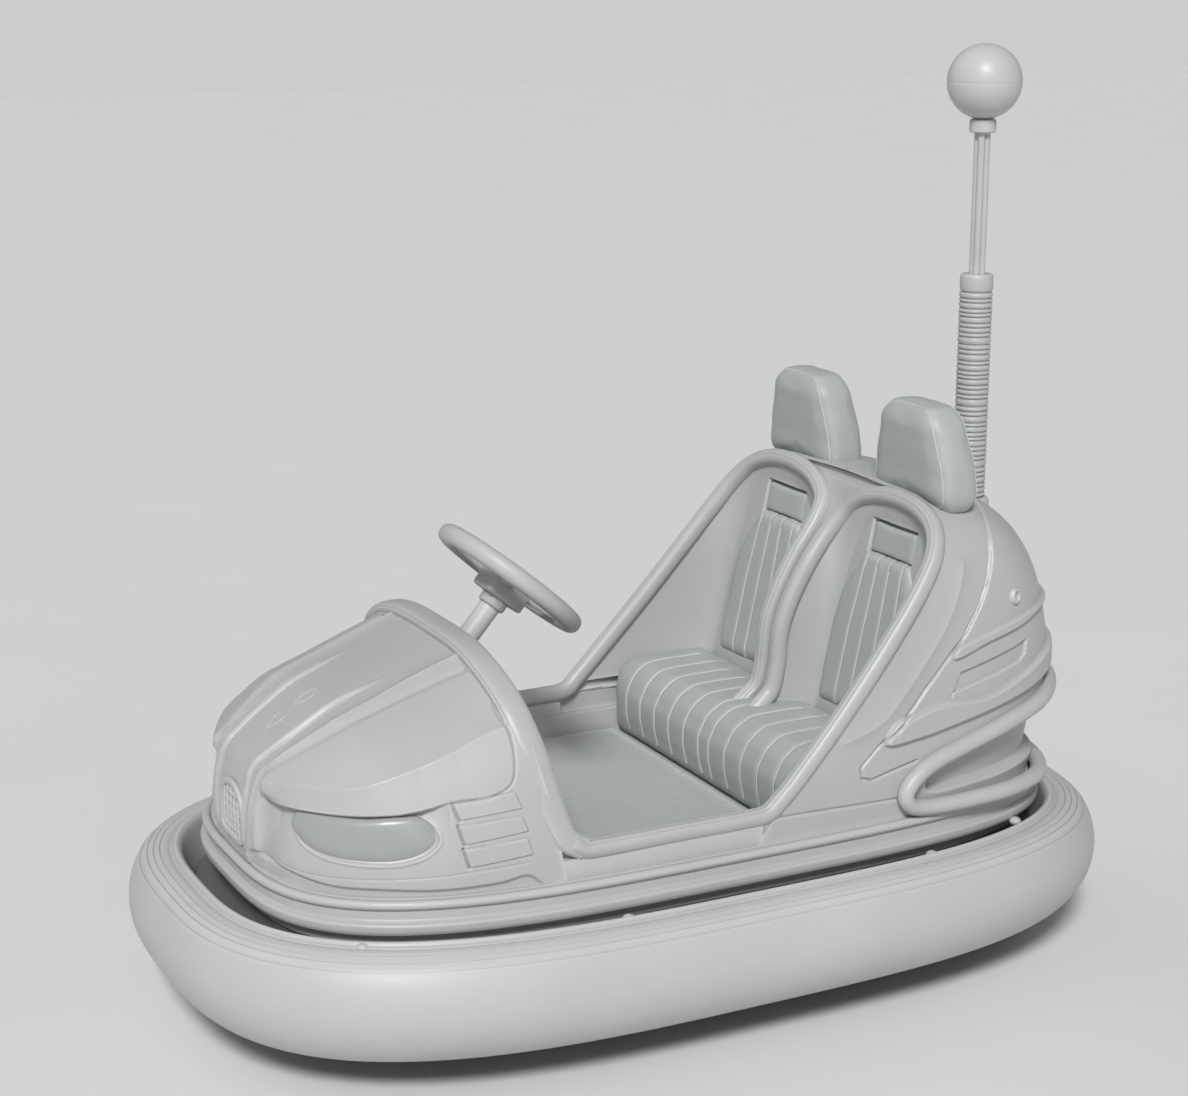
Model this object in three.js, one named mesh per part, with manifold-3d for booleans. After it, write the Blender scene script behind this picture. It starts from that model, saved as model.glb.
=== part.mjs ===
// Two-seat electric bumper car. Millimetres, +Z up, nose towards -Y, the car's left side towards +X.
// The origin is on the floor, under the middle of the bumper ring.
import * as THREE from 'three';
import { mergeVertices } from 'three/addons/utils/BufferGeometryUtils.js';
import Module from 'manifold-3d';

const wasm = await Module();
wasm.setup();

// ---------------------------------------------------------------- driving dimensions
const GAP = 0.3;              // clearance between pieces that touch
const RUNNING = 0.5;          // clearance between a bearing's turning and fixed faces

// Bumper ring: the middle line of the air tube, seen from above
const BUMPER = { halfWidth: 477, front: 846, rear: 846, frontPower: 3.0, rearPower: 3.4 };
const BUMPER_RADIUS = 128;
const BUMPER_Z = 198;
// Body tub: the outer wall just above the flange, seen from above
const TUB = { halfWidth: 438, front: 806, rear: 830, frontPower: 3.3, rearPower: 3.8 };
const FLANGE_Z = 290;
const TUB_TOP_Z = 352;
const SILL_TOP_Z = 384;
const FLOOR_Z = 300;
const WALL = 14;              // moulded shell thickness

// Hood: crest height and squareness of its arch at stations along the car
const HOOD_CREST = [
  [-800, 500, 2.7], [-796, 519, 2.8], [-788, 534, 2.9], [-770, 549, 3.0], [-745, 567, 3.1],
  [-718, 585, 3.2], [-688, 604, 3.3], [-658, 622, 3.3], [-616, 640, 3.1], [-575, 657, 2.9],
  [-507, 684, 2.8], [-439, 709, 2.8], [-400, 722, 2.8], [-340, 732, 2.8],
];
const NOSE_HALF_WIDTH = 60;
const COWL_Y = -399;          // cowl hoop at its crown
const COWL_Z = 720;
const COWL_LEAN = 0.175;      // rearward run of the hoop for each millimetre down

// Rear body: half width, front edge, rear edge and squareness at each height
const REAR_LEVELS = [
  [352.3, 436, 55, 826, 3.8], [400, 437, 90, 836, 3.8], [450, 436, 135, 844, 3.8],
  [520, 431, 190, 852, 3.8], [600, 424, 258, 856, 3.7], [650, 418, 302, 850, 3.7],
  [700, 410, 343, 841, 3.6], [765, 400, 402, 822, 3.4], [820, 388, 442, 793, 3.2],
  [858, 372, 470, 764, 3.0], [888, 343, 490, 730, 2.8], [912, 296, 504, 692, 2.6],
  [928, 236, 514, 650, 2.4],
];

// Cockpit trim roll: from the seat divider's foot, over the seat, along the sill and over the hoop
const TRIM_RADIUS = 18;
const TRIM_HALF = [
  [30, 331, 492], [31, 352, 540], [33, 400, 640], [37, 450, 750], [50, 486, 836], [90, 500, 886],
  [146, 506, 908], [210, 508, 914], [280, 505, 908], [340, 494, 884], [376, 470, 844],
  [394, 424, 788], [407, 350, 702], [417, 262, 600], [424, 176, 504], [426, 114, 434],
  [424, 80, 406], [423, 30, 402], [423, -100, 402], [423, -250, 402], [423, -300, 406],
  [420, -334, 430], [409, -350, 470], [393, -362, 521], [374, -372, 569], [350, -382, 613],
  [325, -389, 645], [292, -394, 670], [250, -398, 691], [200, -400, 707], [130, COWL_Y, 717],
  [0, COWL_Y, COWL_Z],
];
const TRIM_SPLIT_Y = -325;
const HOOP_RADIUS = 23;       // the roll is thicker over the cowl
const DASH_Y = COWL_Y - HOOP_RADIUS - 2;   // rear face of the dashboard panel

// Seats
const SEAT_X = 202;           // middle of each seat
const BACK_FOOT = [418, 470]; // y and z of the backrest panel's front face
const BACK_SLOPE = 0.21;      // rearward run of that face for each millimetre up
const PAD_DEPTH = 36;

// Steering
const WHEEL_CENTRE = new THREE.Vector3(0, -243, 796);
const COLUMN_AXIS = new THREE.Vector3(0, 0.655, 0.7556).normalize();
const COLUMN_RADIUS = 21;
const RIM_RADIUS = 145;
const RIM_THICKNESS = 19;     // radius of the rim's tube
const HUB = { wide: 66, deep: 38, long: 80, top: -6 };

// Current collector mast
const MAST_Y = 819;
const SOCKET_TOP_Z = 848;
const SPRING_TOP_Z = 1280;
const CAP_TOP_Z = 1316;
const RODS_TOP_Z = 1602;
const BALL_Z = 1703;
const BALL_RADIUS = 75.5;

// Running gear
const DRIVE_Y = -(BUMPER.front - 456);
const DRIVE_TYRE_RADIUS = 105;
const DRIVE_TYRE_WIDTH = 60;
const REAR_WHEEL_X = 225;
const REAR_WHEEL_Y = BUMPER.rear - 326;
const REAR_TYRE_RADIUS = 90;
const REAR_TYRE_WIDTH = 50;
const CHASSIS_LOW_Z = 165;
const CHASSIS_TOP_Z = 225;

// ---------------------------------------------------------------- geometry helpers
function clean(geometry) {
  geometry.deleteAttribute('normal');
  geometry.deleteAttribute('uv');
  const merged = mergeVertices(geometry, 1e-4);
  const index = merged.index.array;
  const kept = [];
  for (let i = 0; i < index.length; i += 3) {
    const [a, b, c] = [index[i], index[i + 1], index[i + 2]];
    if (a !== b && b !== c && c !== a) kept.push(a, b, c);
  }
  merged.setIndex(kept);
  return merged;
}

function signedVolume(positions, index) {
  let sum = 0;
  const at = (i) => new THREE.Vector3().fromArray(positions, 3 * i);
  for (let i = 0; i < index.length; i += 3) {
    sum += at(index[i]).dot(at(index[i + 1]).cross(at(index[i + 2])));
  }
  return sum / 6;
}

// A manifold solid from a closed geometry, turned to face out
function solid(geometry) {
  const g = clean(geometry);
  let index = [...g.index.array];
  if (signedVolume(g.attributes.position.array, index) < 0) index = index.reverse();
  return new wasm.Manifold(new wasm.Mesh({
    numProp: 3,
    vertProperties: new Float32Array(g.attributes.position.array),
    triVerts: new Uint32Array(index),
  }));
}

function geometryOf(manifold) {
  const mesh = manifold.getMesh();
  const g = new THREE.BufferGeometry();
  g.setAttribute('position', new THREE.BufferAttribute(new Float32Array(mesh.vertProperties), 3));
  g.setIndex([...mesh.triVerts]);
  return g;
}

function fromPoints(points, index) {
  const g = new THREE.BufferGeometry();
  g.setAttribute('position', new THREE.Float32BufferAttribute(points.flat(), 3));
  g.setIndex(index);
  return solid(g);
}

function join(...solids) { return wasm.Manifold.union(solids); }

function box(x0, x1, y0, y1, z0, z1) {
  const g = new THREE.BoxGeometry(x1 - x0, y1 - y0, z1 - z0);
  return solid(g.translate((x0 + x1) / 2, (y0 + y1) / 2, (z0 + z1) / 2));
}

// Profile of [radius, height] turned about Z through (x, y)
function turned(profile, x, y, segments = 24) {
  const g = new THREE.LatheGeometry(profile.map(([r, z]) => new THREE.Vector2(r, z)), segments);
  return solid(g.rotateX(Math.PI / 2).translate(x, y, 0));
}

// Profile of [radius, x] turned about an axis along X through (y, z)
function turnedAcross(profile, y, z, segments = 24) {
  const g = new THREE.LatheGeometry(profile.map(([r, x]) => new THREE.Vector2(r, x)), segments);
  return solid(g.rotateZ(-Math.PI / 2).translate(0, y, z));
}

// Outline in the plane, pushed up between two heights
function prism(points, z0, z1) {
  const shape = new THREE.Shape(points.map(([x, y]) => new THREE.Vector2(x, y)));
  const g = new THREE.ExtrudeGeometry(shape, { depth: z1 - z0, bevelEnabled: false });
  return solid(g.translate(0, 0, z0));
}

// Side outline of [y, z], pushed across the car between two x values
function sidePrism(points, x0, x1) {
  const shape = new THREE.Shape(points.map(([y, z]) => new THREE.Vector2(y, z)));
  const g = new THREE.ExtrudeGeometry(shape, { depth: x1 - x0, bevelEnabled: false });
  g.applyMatrix4(new THREE.Matrix4().set(0, 0, 1, x0, 1, 0, 0, 0, 0, 1, 0, 0, 0, 0, 0, 1));
  return solid(g);
}

// Front outline of [x, z], pushed along the car between two y values
function frontPrism(points, y0, y1) {
  const shape = new THREE.Shape(points.map(([x, z]) => new THREE.Vector2(x, z)));
  const g = new THREE.ExtrudeGeometry(shape, { depth: y1 - y0, bevelEnabled: false });
  g.applyMatrix4(new THREE.Matrix4().set(1, 0, 0, 0, 0, 0, 1, y0, 0, 1, 0, 0, 0, 0, 0, 1));
  return solid(g);
}

// Closed solid through rings of equal point count, capped at both ends
function loft(rings) {
  const n = rings[0].length;
  const points = rings.flat();
  const index = [];
  for (let k = 0; k + 1 < rings.length; k += 1) {
    for (let i = 0; i < n; i += 1) {
      const [a, b] = [k * n + i, k * n + (i + 1) % n];
      index.push(a, b, b + n, a, b + n, a + n);
    }
  }
  const middle = (ring) => [0, 1, 2].map((c) => ring.reduce((s, p) => s + p[c], 0) / n);
  const last = (rings.length - 1) * n;
  points.push(middle(rings[0]), middle(rings[rings.length - 1]));
  for (let i = 0; i < n; i += 1) {
    const j = (i + 1) % n;
    index.push(points.length - 2, j, i, points.length - 1, last + i, last + j);
  }
  return fromPoints(points, index);
}

// Round bar along a smooth line through the points
function bar(points, radius, steps, sides = 8) {
  const curve = new THREE.CatmullRomCurve3(points.map((p) => new THREE.Vector3(...p)), false, 'centripetal');
  const shape = new THREE.Shape();
  for (let i = 0; i < sides; i += 1) {
    const a = (2 * Math.PI * i) / sides;
    const [x, y] = [radius * Math.cos(a), radius * Math.sin(a)];
    if (i === 0) shape.moveTo(x, y); else shape.lineTo(x, y);
  }
  return solid(new THREE.ExtrudeGeometry(shape, { steps, extrudePath: curve, bevelEnabled: false }));
}

// Rounded-square outline as points with outward normals, evenly spaced on each quarter
function outline(form, perQuarter = 13) {
  const quarter = (length, power) => {
    const fine = [];
    for (let i = 0; i <= 400; i += 1) {
      const a = (Math.PI / 2) * (i / 400);
      fine.push([form.halfWidth * Math.cos(a) ** (2 / power), length * Math.sin(a) ** (2 / power)]);
    }
    const run = [0];
    for (let i = 1; i < fine.length; i += 1) {
      run.push(run[i - 1] + Math.hypot(fine[i][0] - fine[i - 1][0], fine[i][1] - fine[i - 1][1]));
    }
    const picked = [];
    for (let k = 0; k < perQuarter; k += 1) {
      const target = (run[400] * k) / perQuarter;
      const i = Math.max(1, run.findIndex((s) => s >= target));
      const t = (target - run[i - 1]) / (run[i] - run[i - 1]);
      const x = fine[i - 1][0] + t * (fine[i][0] - fine[i - 1][0]);
      const y = fine[i - 1][1] + t * (fine[i][1] - fine[i - 1][1]);
      const nx = (x / form.halfWidth) ** (power - 1) / form.halfWidth;
      const ny = (y / length) ** (power - 1) / length;
      const size = Math.hypot(nx, ny);
      picked.push({ x, y, nx: nx / size, ny: ny / size });
    }
    picked.push({ x: 0, y: length, nx: 0, ny: 1 });
    return picked;
  };
  const rear = quarter(form.rear, form.rearPower);
  const front = quarter(form.front, form.frontPower);
  const flip = (p, sx, sy) => ({ x: p.x * sx, y: p.y * sy, nx: p.nx * sx, ny: p.ny * sy });
  return [
    ...rear.slice(0, -1),
    ...[...rear].reverse().slice(0, -1).map((p) => flip(p, -1, 1)),
    ...front.slice(0, -1).map((p) => flip(p, -1, -1)),
    ...[...front].reverse().slice(0, -1).map((p) => flip(p, 1, -1)),
  ];
}

// Ring whose section of [outward offset, height] follows an outline
function ring(path, section) {
  const m = section.length;
  const points = path.flatMap((p) => section.map(([d, z]) => [p.x + p.nx * d, p.y + p.ny * d, z]));
  const index = [];
  for (let i = 0; i < path.length; i += 1) {
    const next = (i + 1) % path.length;
    for (let j = 0; j < m; j += 1) {
      const [a, b, c, d] = [i * m + j, i * m + (j + 1) % m, next * m + (j + 1) % m, next * m + j];
      index.push(a, b, c, a, c, d);
    }
  }
  return fromPoints(points, index);
}

const inset = (path, d) => path.map((p) => [p.x - p.nx * d, p.y - p.ny * d]);

const group = new THREE.Group();

function add(name, manifold, colour) {
  const material = new THREE.MeshStandardMaterial({ color: colour, roughness: 0.6 });
  const mesh = new THREE.Mesh(geometryOf(manifold), material);
  mesh.name = name;
  group.add(mesh);
}

const SHELL = 0xc4c6c6;
const SOFT = 0x9aa3a3;
const RUBBER = 0x2a2a2b;
const STEEL = 0x6d7073;

// ---------------------------------------------------------------- bumper ring
const bumperPath = outline(BUMPER);
const bumperSection = [];
for (let i = 0; i <= 9; i += 1) {
  const a = THREE.MathUtils.degToRad(-84 + i * 13);
  bumperSection.push([BUMPER_RADIUS * Math.cos(a), BUMPER_Z + BUMPER_RADIUS * Math.sin(a)]);
}
bumperSection.push([100, 277], [48, 291], [40, 298], [30, 295], [20, 276], [-0.5, 226], [-0.5, 100]);
add('bumper_tube', ring(bumperPath, bumperSection), RUBBER);

const railOuter = 0.8;
const railInner = 20;
add('bumper_rail', ring(bumperPath, [
  [-railOuter, 110], [-railOuter, 222], [-railInner, 222], [-railInner, 110],
]), STEEL);

// ---------------------------------------------------------------- chassis
const insideRail = inset(bumperPath, railInner + GAP);
const chassisReach = prism(insideRail, CHASSIS_LOW_Z, FLANGE_Z);
const crossBeam = (y, low) => box(-480, 480, y - 25, y + 25, low, CHASSIS_TOP_Z);
const longBeam = (x) => box(x - 25, x + 25, -900, 900, CHASSIS_LOW_Z, CHASSIS_TOP_Z);
const bridgePost = (x) => box(x - 25, x + 25, DRIVE_Y - 50, DRIVE_Y + 50, CHASSIS_LOW_Z, FLANGE_Z - GAP);
const BRIDGE_LOW_Z = 262;
const kingpinHole = turned([[0, 200], [26, 200], [26, 300], [0, 300]], 0, DRIVE_Y);
const chassis = join(
  longBeam(-300), longBeam(300),
  crossBeam(-(BUMPER.front - 206), CHASSIS_LOW_Z), crossBeam(DRIVE_Y + 240, CHASSIS_LOW_Z),
  crossBeam(REAR_WHEEL_Y - 160, CHASSIS_LOW_Z),
  crossBeam(REAR_WHEEL_Y, 195), crossBeam(BUMPER.rear - 166, CHASSIS_LOW_Z),
  bridgePost(-300), bridgePost(300),
  box(-300, 300, DRIVE_Y - 50, DRIVE_Y + 50, BRIDGE_LOW_Z, FLANGE_Z - GAP),
).intersect(chassisReach).subtract(kingpinHole);
add('chassis_frame', chassis, STEEL);

const tubPath = outline(TUB);
add('body_skirt', ring(tubPath, [
  [-10, CHASSIS_TOP_Z + GAP], [-10, FLANGE_Z - GAP], [-20, FLANGE_Z - GAP], [-20, CHASSIS_TOP_Z + GAP],
]), STEEL);

// ---------------------------------------------------------------- trim roll, split into three
const trimPoints = [
  ...TRIM_HALF,
  ...[...TRIM_HALF].slice(0, -1).reverse().map(([x, y, z]) => [-x, y, z]),
];
const footCut = box(-90, 90, 250, 420, 400, 492 + 2 * GAP);
const trimRoll = bar(trimPoints, TRIM_RADIUS, 150).subtract(footCut);
const hoopRoll = bar(trimPoints, HOOP_RADIUS, 150);
const aheadOfSplit = box(-600, 600, -1000, TRIM_SPLIT_Y - GAP / 2, 0, 1200);
const trimSpace = join(
  bar(trimPoints, TRIM_RADIUS + GAP, 150),
  bar(trimPoints, HOOP_RADIUS + GAP, 150).intersect(box(-600, 600, -1000, TRIM_SPLIT_Y + GAP, 0, 1200)),
);
const behindSplit = (side) => (side > 0
  ? box(0, 600, TRIM_SPLIT_Y + GAP / 2, 1000, 0, 1200)
  : box(-600, 0, TRIM_SPLIT_Y + GAP / 2, 1000, 0, 1200));
add('cowl_hoop', hoopRoll.intersect(aheadOfSplit), SHELL);
add('side_trim_left', trimRoll.intersect(behindSplit(1)), SHELL);
add('side_trim_right', trimRoll.intersect(behindSplit(-1)), SHELL);

// ---------------------------------------------------------------- lower body with its sills
const lowerRing = ring(tubPath, [
  [22, FLANGE_Z], [22, 312], [13, 320], [13, 334], [2, 335], [2, TUB_TOP_Z],
  [-22, TUB_TOP_Z], [-22, FLANGE_Z],
]);
const sillRing = ring(tubPath, [
  [-2, 340], [-2, SILL_TOP_Z + 8], [-22, SILL_TOP_Z + 8], [-22, 340],
]);
const sills = sillRing.intersect(join(box(200, 600, -318, 50, 300, 500), box(-600, -200, -318, 50, 300, 500)));
add('lower_body', join(lowerRing, sills).subtract(trimSpace), SHELL);

const beadSection = [];
for (let i = 0; i < 6; i += 1) {
  const a = (Math.PI * i) / 3;
  beadSection.push([10.6 + 8 * Math.cos(a), 342.8 + 8 * Math.sin(a)]);
}
add('body_bead', ring(tubPath, beadSection), SHELL);

// ---------------------------------------------------------------- floor
const panPath = inset(tubPath, 22 + GAP);
add('floor_pan', prism(panPath, FLANGE_Z, FLOOR_Z), SHELL);
const MAT = { halfWidth: 408, front: -690, rear: 186 };
const matReach = prism(inset(tubPath, 34), FLOOR_Z, 320);
add('floor_mat', box(-MAT.halfWidth, MAT.halfWidth, MAT.front, MAT.rear, FLOOR_Z + GAP, 310)
  .intersect(matReach), SOFT);

// ---------------------------------------------------------------- hood
function crestAt(y) {
  const k = Math.max(1, HOOD_CREST.findIndex(([station]) => station >= y));
  const [[y0, z0, p0], [y1, z1, p1]] = [HOOD_CREST[k - 1], HOOD_CREST[k]];
  const t = (y - y0) / (y1 - y0);
  return { height: z0 + t * (z1 - z0), power: p0 + t * (p1 - p0) };
}

function tubHalfWidth(y) {
  const t = Math.min(1, Math.abs(y) / TUB.front);
  return Math.max(NOSE_HALF_WIDTH, TUB.halfWidth * (1 - t ** TUB.frontPower) ** (1 / TUB.frontPower));
}

// Arched section of the hood at one station, grown outwards by the given amount
function hoodSection(y, station, grow, base) {
  const half = tubHalfWidth(station) + grow;
  const { height, power } = crestAt(station);
  const rise = height + grow - base;
  const points = [];
  for (let i = 0; i <= 20; i += 1) {
    const a = (Math.PI * i) / 20;
    const c = Math.cos(a);
    points.push([half * Math.sign(c) * Math.abs(c) ** (2 / power), y, base + rise * Math.sin(a) ** (2 / power)]);
  }
  return points;
}

const hoodForm = (grow, base, ahead) => loft(HOOD_CREST.map(([y], k) => (
  hoodSection(k === 0 ? y - ahead : y, y, grow, base))));
const hoodOuter = hoodForm(0, TUB_TOP_Z + GAP, 0);
const hoodInner = hoodForm(-WALL, 300, -WALL);
const cowlNormal = [0, -1, -COWL_LEAN];
const cowlPlane = -(COWL_Y + COWL_LEAN * COWL_Z);
const cowlLength = Math.hypot(1, COWL_LEAN);
const hood = hoodOuter.subtract(hoodInner)
  .trimByPlane(cowlNormal.map((c) => c / cowlLength), (cowlPlane + 4) / cowlLength)
  .subtract(trimSpace);
add('front_hood', hood, SHELL);

// Grille: arched plate with a shallow field
const archPlate = (half, low, spring, y0, y1) => {
  const points = [[-half, low], [half, low]];
  for (let i = 0; i <= 8; i += 1) {
    const a = (Math.PI * i) / 8;
    points.push([half * Math.cos(a), spring + 0.8 * half * Math.sin(a)]);
  }
  return frontPrism(points, y0, y1);
};
const NOSE_Y = HOOD_CREST[0][0];
add('grille', archPlate(62, 368, 440, NOSE_Y - 13, NOSE_Y - GAP)
  .subtract(archPlate(52, 378, 440, NOSE_Y - 20, NOSE_Y - 7)), STEEL);

// Headlights: long lenses that follow the hood's front corner
const hoodGrown = hoodForm(GAP, TUB_TOP_Z + GAP, GAP);
const lampBand = hoodForm(9, 340, 9);
const lampWindow = (side) => {
  const points = [];
  for (let i = 0; i < 16; i += 1) {
    const a = (2 * Math.PI * i) / 16;
    const along = Math.sign(Math.cos(a)) * Math.abs(Math.cos(a)) ** 0.6;
    const high = Math.sign(Math.sin(a)) * Math.abs(Math.sin(a)) ** 0.8;
    points.push([side * (300 + 96 * along), 458 + 34 * high - 14 * along]);
  }
  return frontPrism(points, -830, -480);
};
add('headlight_left', lampBand.intersect(lampWindow(1)).subtract(hoodGrown), 0xdfe3e4);
add('headlight_right', lampBand.intersect(lampWindow(-1)).subtract(hoodGrown), 0xdfe3e4);

// ---------------------------------------------------------------- steering column and dashboard
function alongColumn(geometry) {
  const turn = new THREE.Quaternion().setFromUnitVectors(new THREE.Vector3(0, 0, 1), COLUMN_AXIS);
  geometry.rotateX(Math.PI / 2);
  geometry.applyQuaternion(turn);
  return geometry.translate(...WHEEL_CENTRE);
}
const columnTurned = (profile, segments = 20) => solid(alongColumn(
  new THREE.LatheGeometry(profile.map(([r, h]) => new THREE.Vector2(r, h)), segments)));
const columnBar = (radius, low, high) => columnTurned([[0, low], [radius, low], [radius, high], [0, high]]);
const floorTop = box(-900, 900, -900, 900, 0, 310 + GAP);
const COLLAR_LOW = -66;       // foot of the wheel's collar along the column
add('steering_column', columnBar(COLUMN_RADIUS, -680, COLLAR_LOW - RUNNING).subtract(floorTop), STEEL);

const dashSpace = hoodForm(-WALL - GAP, 300, -WALL).intersect(box(-500, 500, DASH_Y - WALL, DASH_Y, 500, 900));
add('dashboard', dashSpace.subtract(trimSpace).subtract(columnBar(COLUMN_RADIUS + GAP, -680, 0)), SHELL);

// Steering wheel: rim, three spokes, square hub and collar in one piece
const rim = solid(alongColumn(new THREE.LatheGeometry(
  [...Array(9)].map((_, i) => new THREE.Vector2(
    RIM_RADIUS + RIM_THICKNESS * Math.cos((Math.PI * i) / 4),
    RIM_THICKNESS * Math.sin((Math.PI * i) / 4),
  )), 32)));
const spoke = (angle) => {
  const g = new THREE.BoxGeometry(RIM_RADIUS - 16, 10, 26);
  g.translate((RIM_RADIUS + 16) / 2, -8, 0);
  g.rotateY(angle);
  return solid(alongColumn(g));
};
const hubBlock = () => {
  const g = new THREE.BoxGeometry(HUB.wide, HUB.deep, HUB.long);
  g.translate(0, HUB.top - HUB.deep / 2, 0);
  return solid(alongColumn(g));
};
const spokeAngles = [Math.PI / 2, Math.PI / 2 + (2 * Math.PI) / 3, Math.PI / 2 + (4 * Math.PI) / 3];
add('steering_wheel', join(
  rim, ...spokeAngles.map(spoke), hubBlock(),
  columnTurned([[0, COLLAR_LOW], [22, COLLAR_LOW], [28, COLLAR_LOW + 6], [28, -30], [0, -30]]),
), RUBBER);

// Accelerator pedal: a hinged plate on its foot, fixed here
add('accelerator_pedal', sidePrism([
  [-560, 310 + GAP], [-470, 310 + GAP], [-470, 316], [-545, 322], [-470, 362], [-478, 372], [-560, 330],
], 60, 130), STEEL);

// ---------------------------------------------------------------- rear body
function rearRing([z, half, frontY, rearY, power], grow, ahead, height) {
  const points = [];
  for (let i = 0; i <= 22; i += 1) {
    const a = (Math.PI * i) / 22;
    const c = Math.cos(a);
    points.push([
      (half + grow) * Math.sign(c) * Math.abs(c) ** (2 / power),
      frontY - ahead + (rearY + grow - frontY + ahead) * Math.sin(a) ** (2 / power),
      height(z),
    ]);
  }
  return points;
}
const REAR_LOW = REAR_LEVELS[0][0];
const REAR_HIGH = REAR_LEVELS[REAR_LEVELS.length - 1][0];
const rearForm = (grow, ahead, low, high) => loft(REAR_LEVELS.map((level) => rearRing(
  level, grow, ahead, (z) => low + ((z - REAR_LOW) / (REAR_HIGH - REAR_LOW)) * (high - low))));
const rearOuter = rearForm(0, 0, REAR_LOW, REAR_HIGH);
const rearInner = rearForm(-WALL, 90, 320, REAR_HIGH - WALL);
const rearGrown = rearForm(GAP, GAP, REAR_LOW - GAP, REAR_HIGH + GAP);
add('rear_body', rearOuter.subtract(rearInner).subtract(trimSpace), SHELL);

// ---------------------------------------------------------------- seats
const backY = (z) => BACK_FOOT[0] + BACK_SLOPE * (z - BACK_FOOT[1]);
const panelSide = [
  [backY(302), FLOOR_Z + GAP], [backY(302) + 24, FLOOR_Z + GAP], [backY(896) + 24, 896], [backY(896), 896],
];
const dividerSide = [[345, 476], [430, 476], [530, 892], [500, 880], [445, 745], [392, 640], [352, 545]];
const bolster = (side) => {
  const edge = [[160, 476], [432, 476], [515, 850], [470, 850], [404, 765], [300, 645], [232, 560]];
  const x = side > 0 ? [350, 440] : [-440, -350];
  return sidePrism(edge, ...x);
};
const seatReach = rearForm(-WALL - GAP, 90, 320, REAR_HIGH - WALL - GAP)
  .intersect(prism(inset(tubPath, 22 + GAP), FLOOR_Z, 1000));
const seatShell = join(
  sidePrism(panelSide, -430, 430), sidePrism(dividerSide, -34, 34), bolster(1), bolster(-1),
).intersect(seatReach).subtract(trimSpace);
add('seat_shell', seatShell, SHELL);

const CUSHION_SIDE = [
  [198, FLOOR_Z + GAP], [190, 330], [187, 410], [194, 440], [214, 460], [248, 472], [404, 472],
  [400, 440], [372, FLOOR_Z + GAP],
];
add('seat_cushion', sidePrism(CUSHION_SIDE, -408, 408), SOFT);

// Slab in the plane of the backrest, from [x, z] corners
function backSlab(points, depth) {
  const shape = new THREE.Shape(points.map(([x, z]) => new THREE.Vector2(x, z)));
  const g = new THREE.ExtrudeGeometry(shape, { depth, bevelEnabled: false });
  const offset = BACK_FOOT[0] - BACK_SLOPE * BACK_FOOT[1] - GAP - depth;
  g.applyMatrix4(new THREE.Matrix4().set(1, 0, 0, 0, 0, BACK_SLOPE, 1, offset, 0, 1, 0, 0, 0, 0, 0, 1));
  return solid(g);
}
const aroundSeat = (side, points) => points.map(([u, z]) => [side * SEAT_X + u, z]);
const PAD = [[-142, 476], [142, 476], [142, 640], [130, 700], [74, 796], [-74, 796], [-130, 700], [-142, 640]];
const UPPER_PAD = [[-72, 804], [72, 804], [70, 862], [-70, 862]];
for (const [side, word] of [[1, 'left'], [-1, 'right']]) {
  add(`backrest_pad_${word}`, backSlab(aroundSeat(side, PAD), PAD_DEPTH), SOFT);
  add(`upper_pad_${word}`, backSlab(aroundSeat(side, UPPER_PAD), 16), SOFT);
}

// Headrests: tapered blocks that stand on the deck behind each seat
const HEADREST_LEVELS = [
  [896, 116, 534, 606], [925, 131, 518, 615], [975, 129, 514, 616], [1040, 110, 510, 608],
  [1086, 92, 508, 598], [1108, 72, 520, 586],
];
const headrest = (side) => loft(HEADREST_LEVELS.map(([z, half, front, rear]) => {
  const points = [];
  for (let i = 0; i < 20; i += 1) {
    const a = (2 * Math.PI * i) / 20;
    const [c, s] = [Math.cos(a), Math.sin(a)];
    points.push([
      side * SEAT_X + half * Math.sign(c) * Math.abs(c) ** 0.55,
      (front + rear) / 2 + ((rear - front) / 2) * Math.sign(s) * Math.abs(s) ** 0.6,
      z,
    ]);
  }
  return points;
}));
add('headrest_left', headrest(1).subtract(rearGrown).subtract(trimSpace), SOFT);
add('headrest_right', headrest(-1).subtract(rearGrown).subtract(trimSpace), SOFT);

// ---------------------------------------------------------------- rear trim loop
const loopHalf = [
  [0, 868, 540], [180, 861, 538], [280, 828, 532], [370, 746, 520], [414, 636, 501], [432, 520, 475],
  [439, 450, 457], [443, 411, 440], [446, 384, 418], [447, 375, 398], [446, 388, 378], [445, 430, 368], [443, 560, 368],
  [430, 662, 368], [388, 756, 368], [300, 818, 368], [180, 842, 368], [0, 846, 368],
];
const loopPoints = [
  ...[...loopHalf].map(([x, y, z]) => [x, y, z]),
  ...[...loopHalf].slice(0, -1).reverse().map(([x, y, z]) => [-x, y, z]),
];
const loopSteps = 72;
const loopCurve = new THREE.CatmullRomCurve3(
  loopPoints.slice(0, -1).map((p) => new THREE.Vector3(...p)), true, 'centripetal');
const loopFrames = loopCurve.computeFrenetFrames(loopSteps, true);
const loopRings = [];
for (let i = 0; i < loopSteps; i += 1) {
  const p = loopCurve.getPointAt(i / loopSteps);
  for (let j = 0; j < 8; j += 1) {
    const a = (Math.PI * j) / 4;
    loopRings.push(p.clone()
      .addScaledVector(loopFrames.normals[i], 17 * Math.cos(a))
      .addScaledVector(loopFrames.binormals[i], 17 * Math.sin(a)).toArray());
  }
}
const loopIndex = [];
for (let i = 0; i < loopSteps; i += 1) {
  const next = (i + 1) % loopSteps;
  for (let j = 0; j < 8; j += 1) {
    const k = (j + 1) % 8;
    loopIndex.push(i * 8 + j, i * 8 + k, next * 8 + k, i * 8 + j, next * 8 + k, next * 8 + j);
  }
}
add('rear_trim_loop', fromPoints(loopRings, loopIndex).subtract(rearGrown), SHELL);

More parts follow.
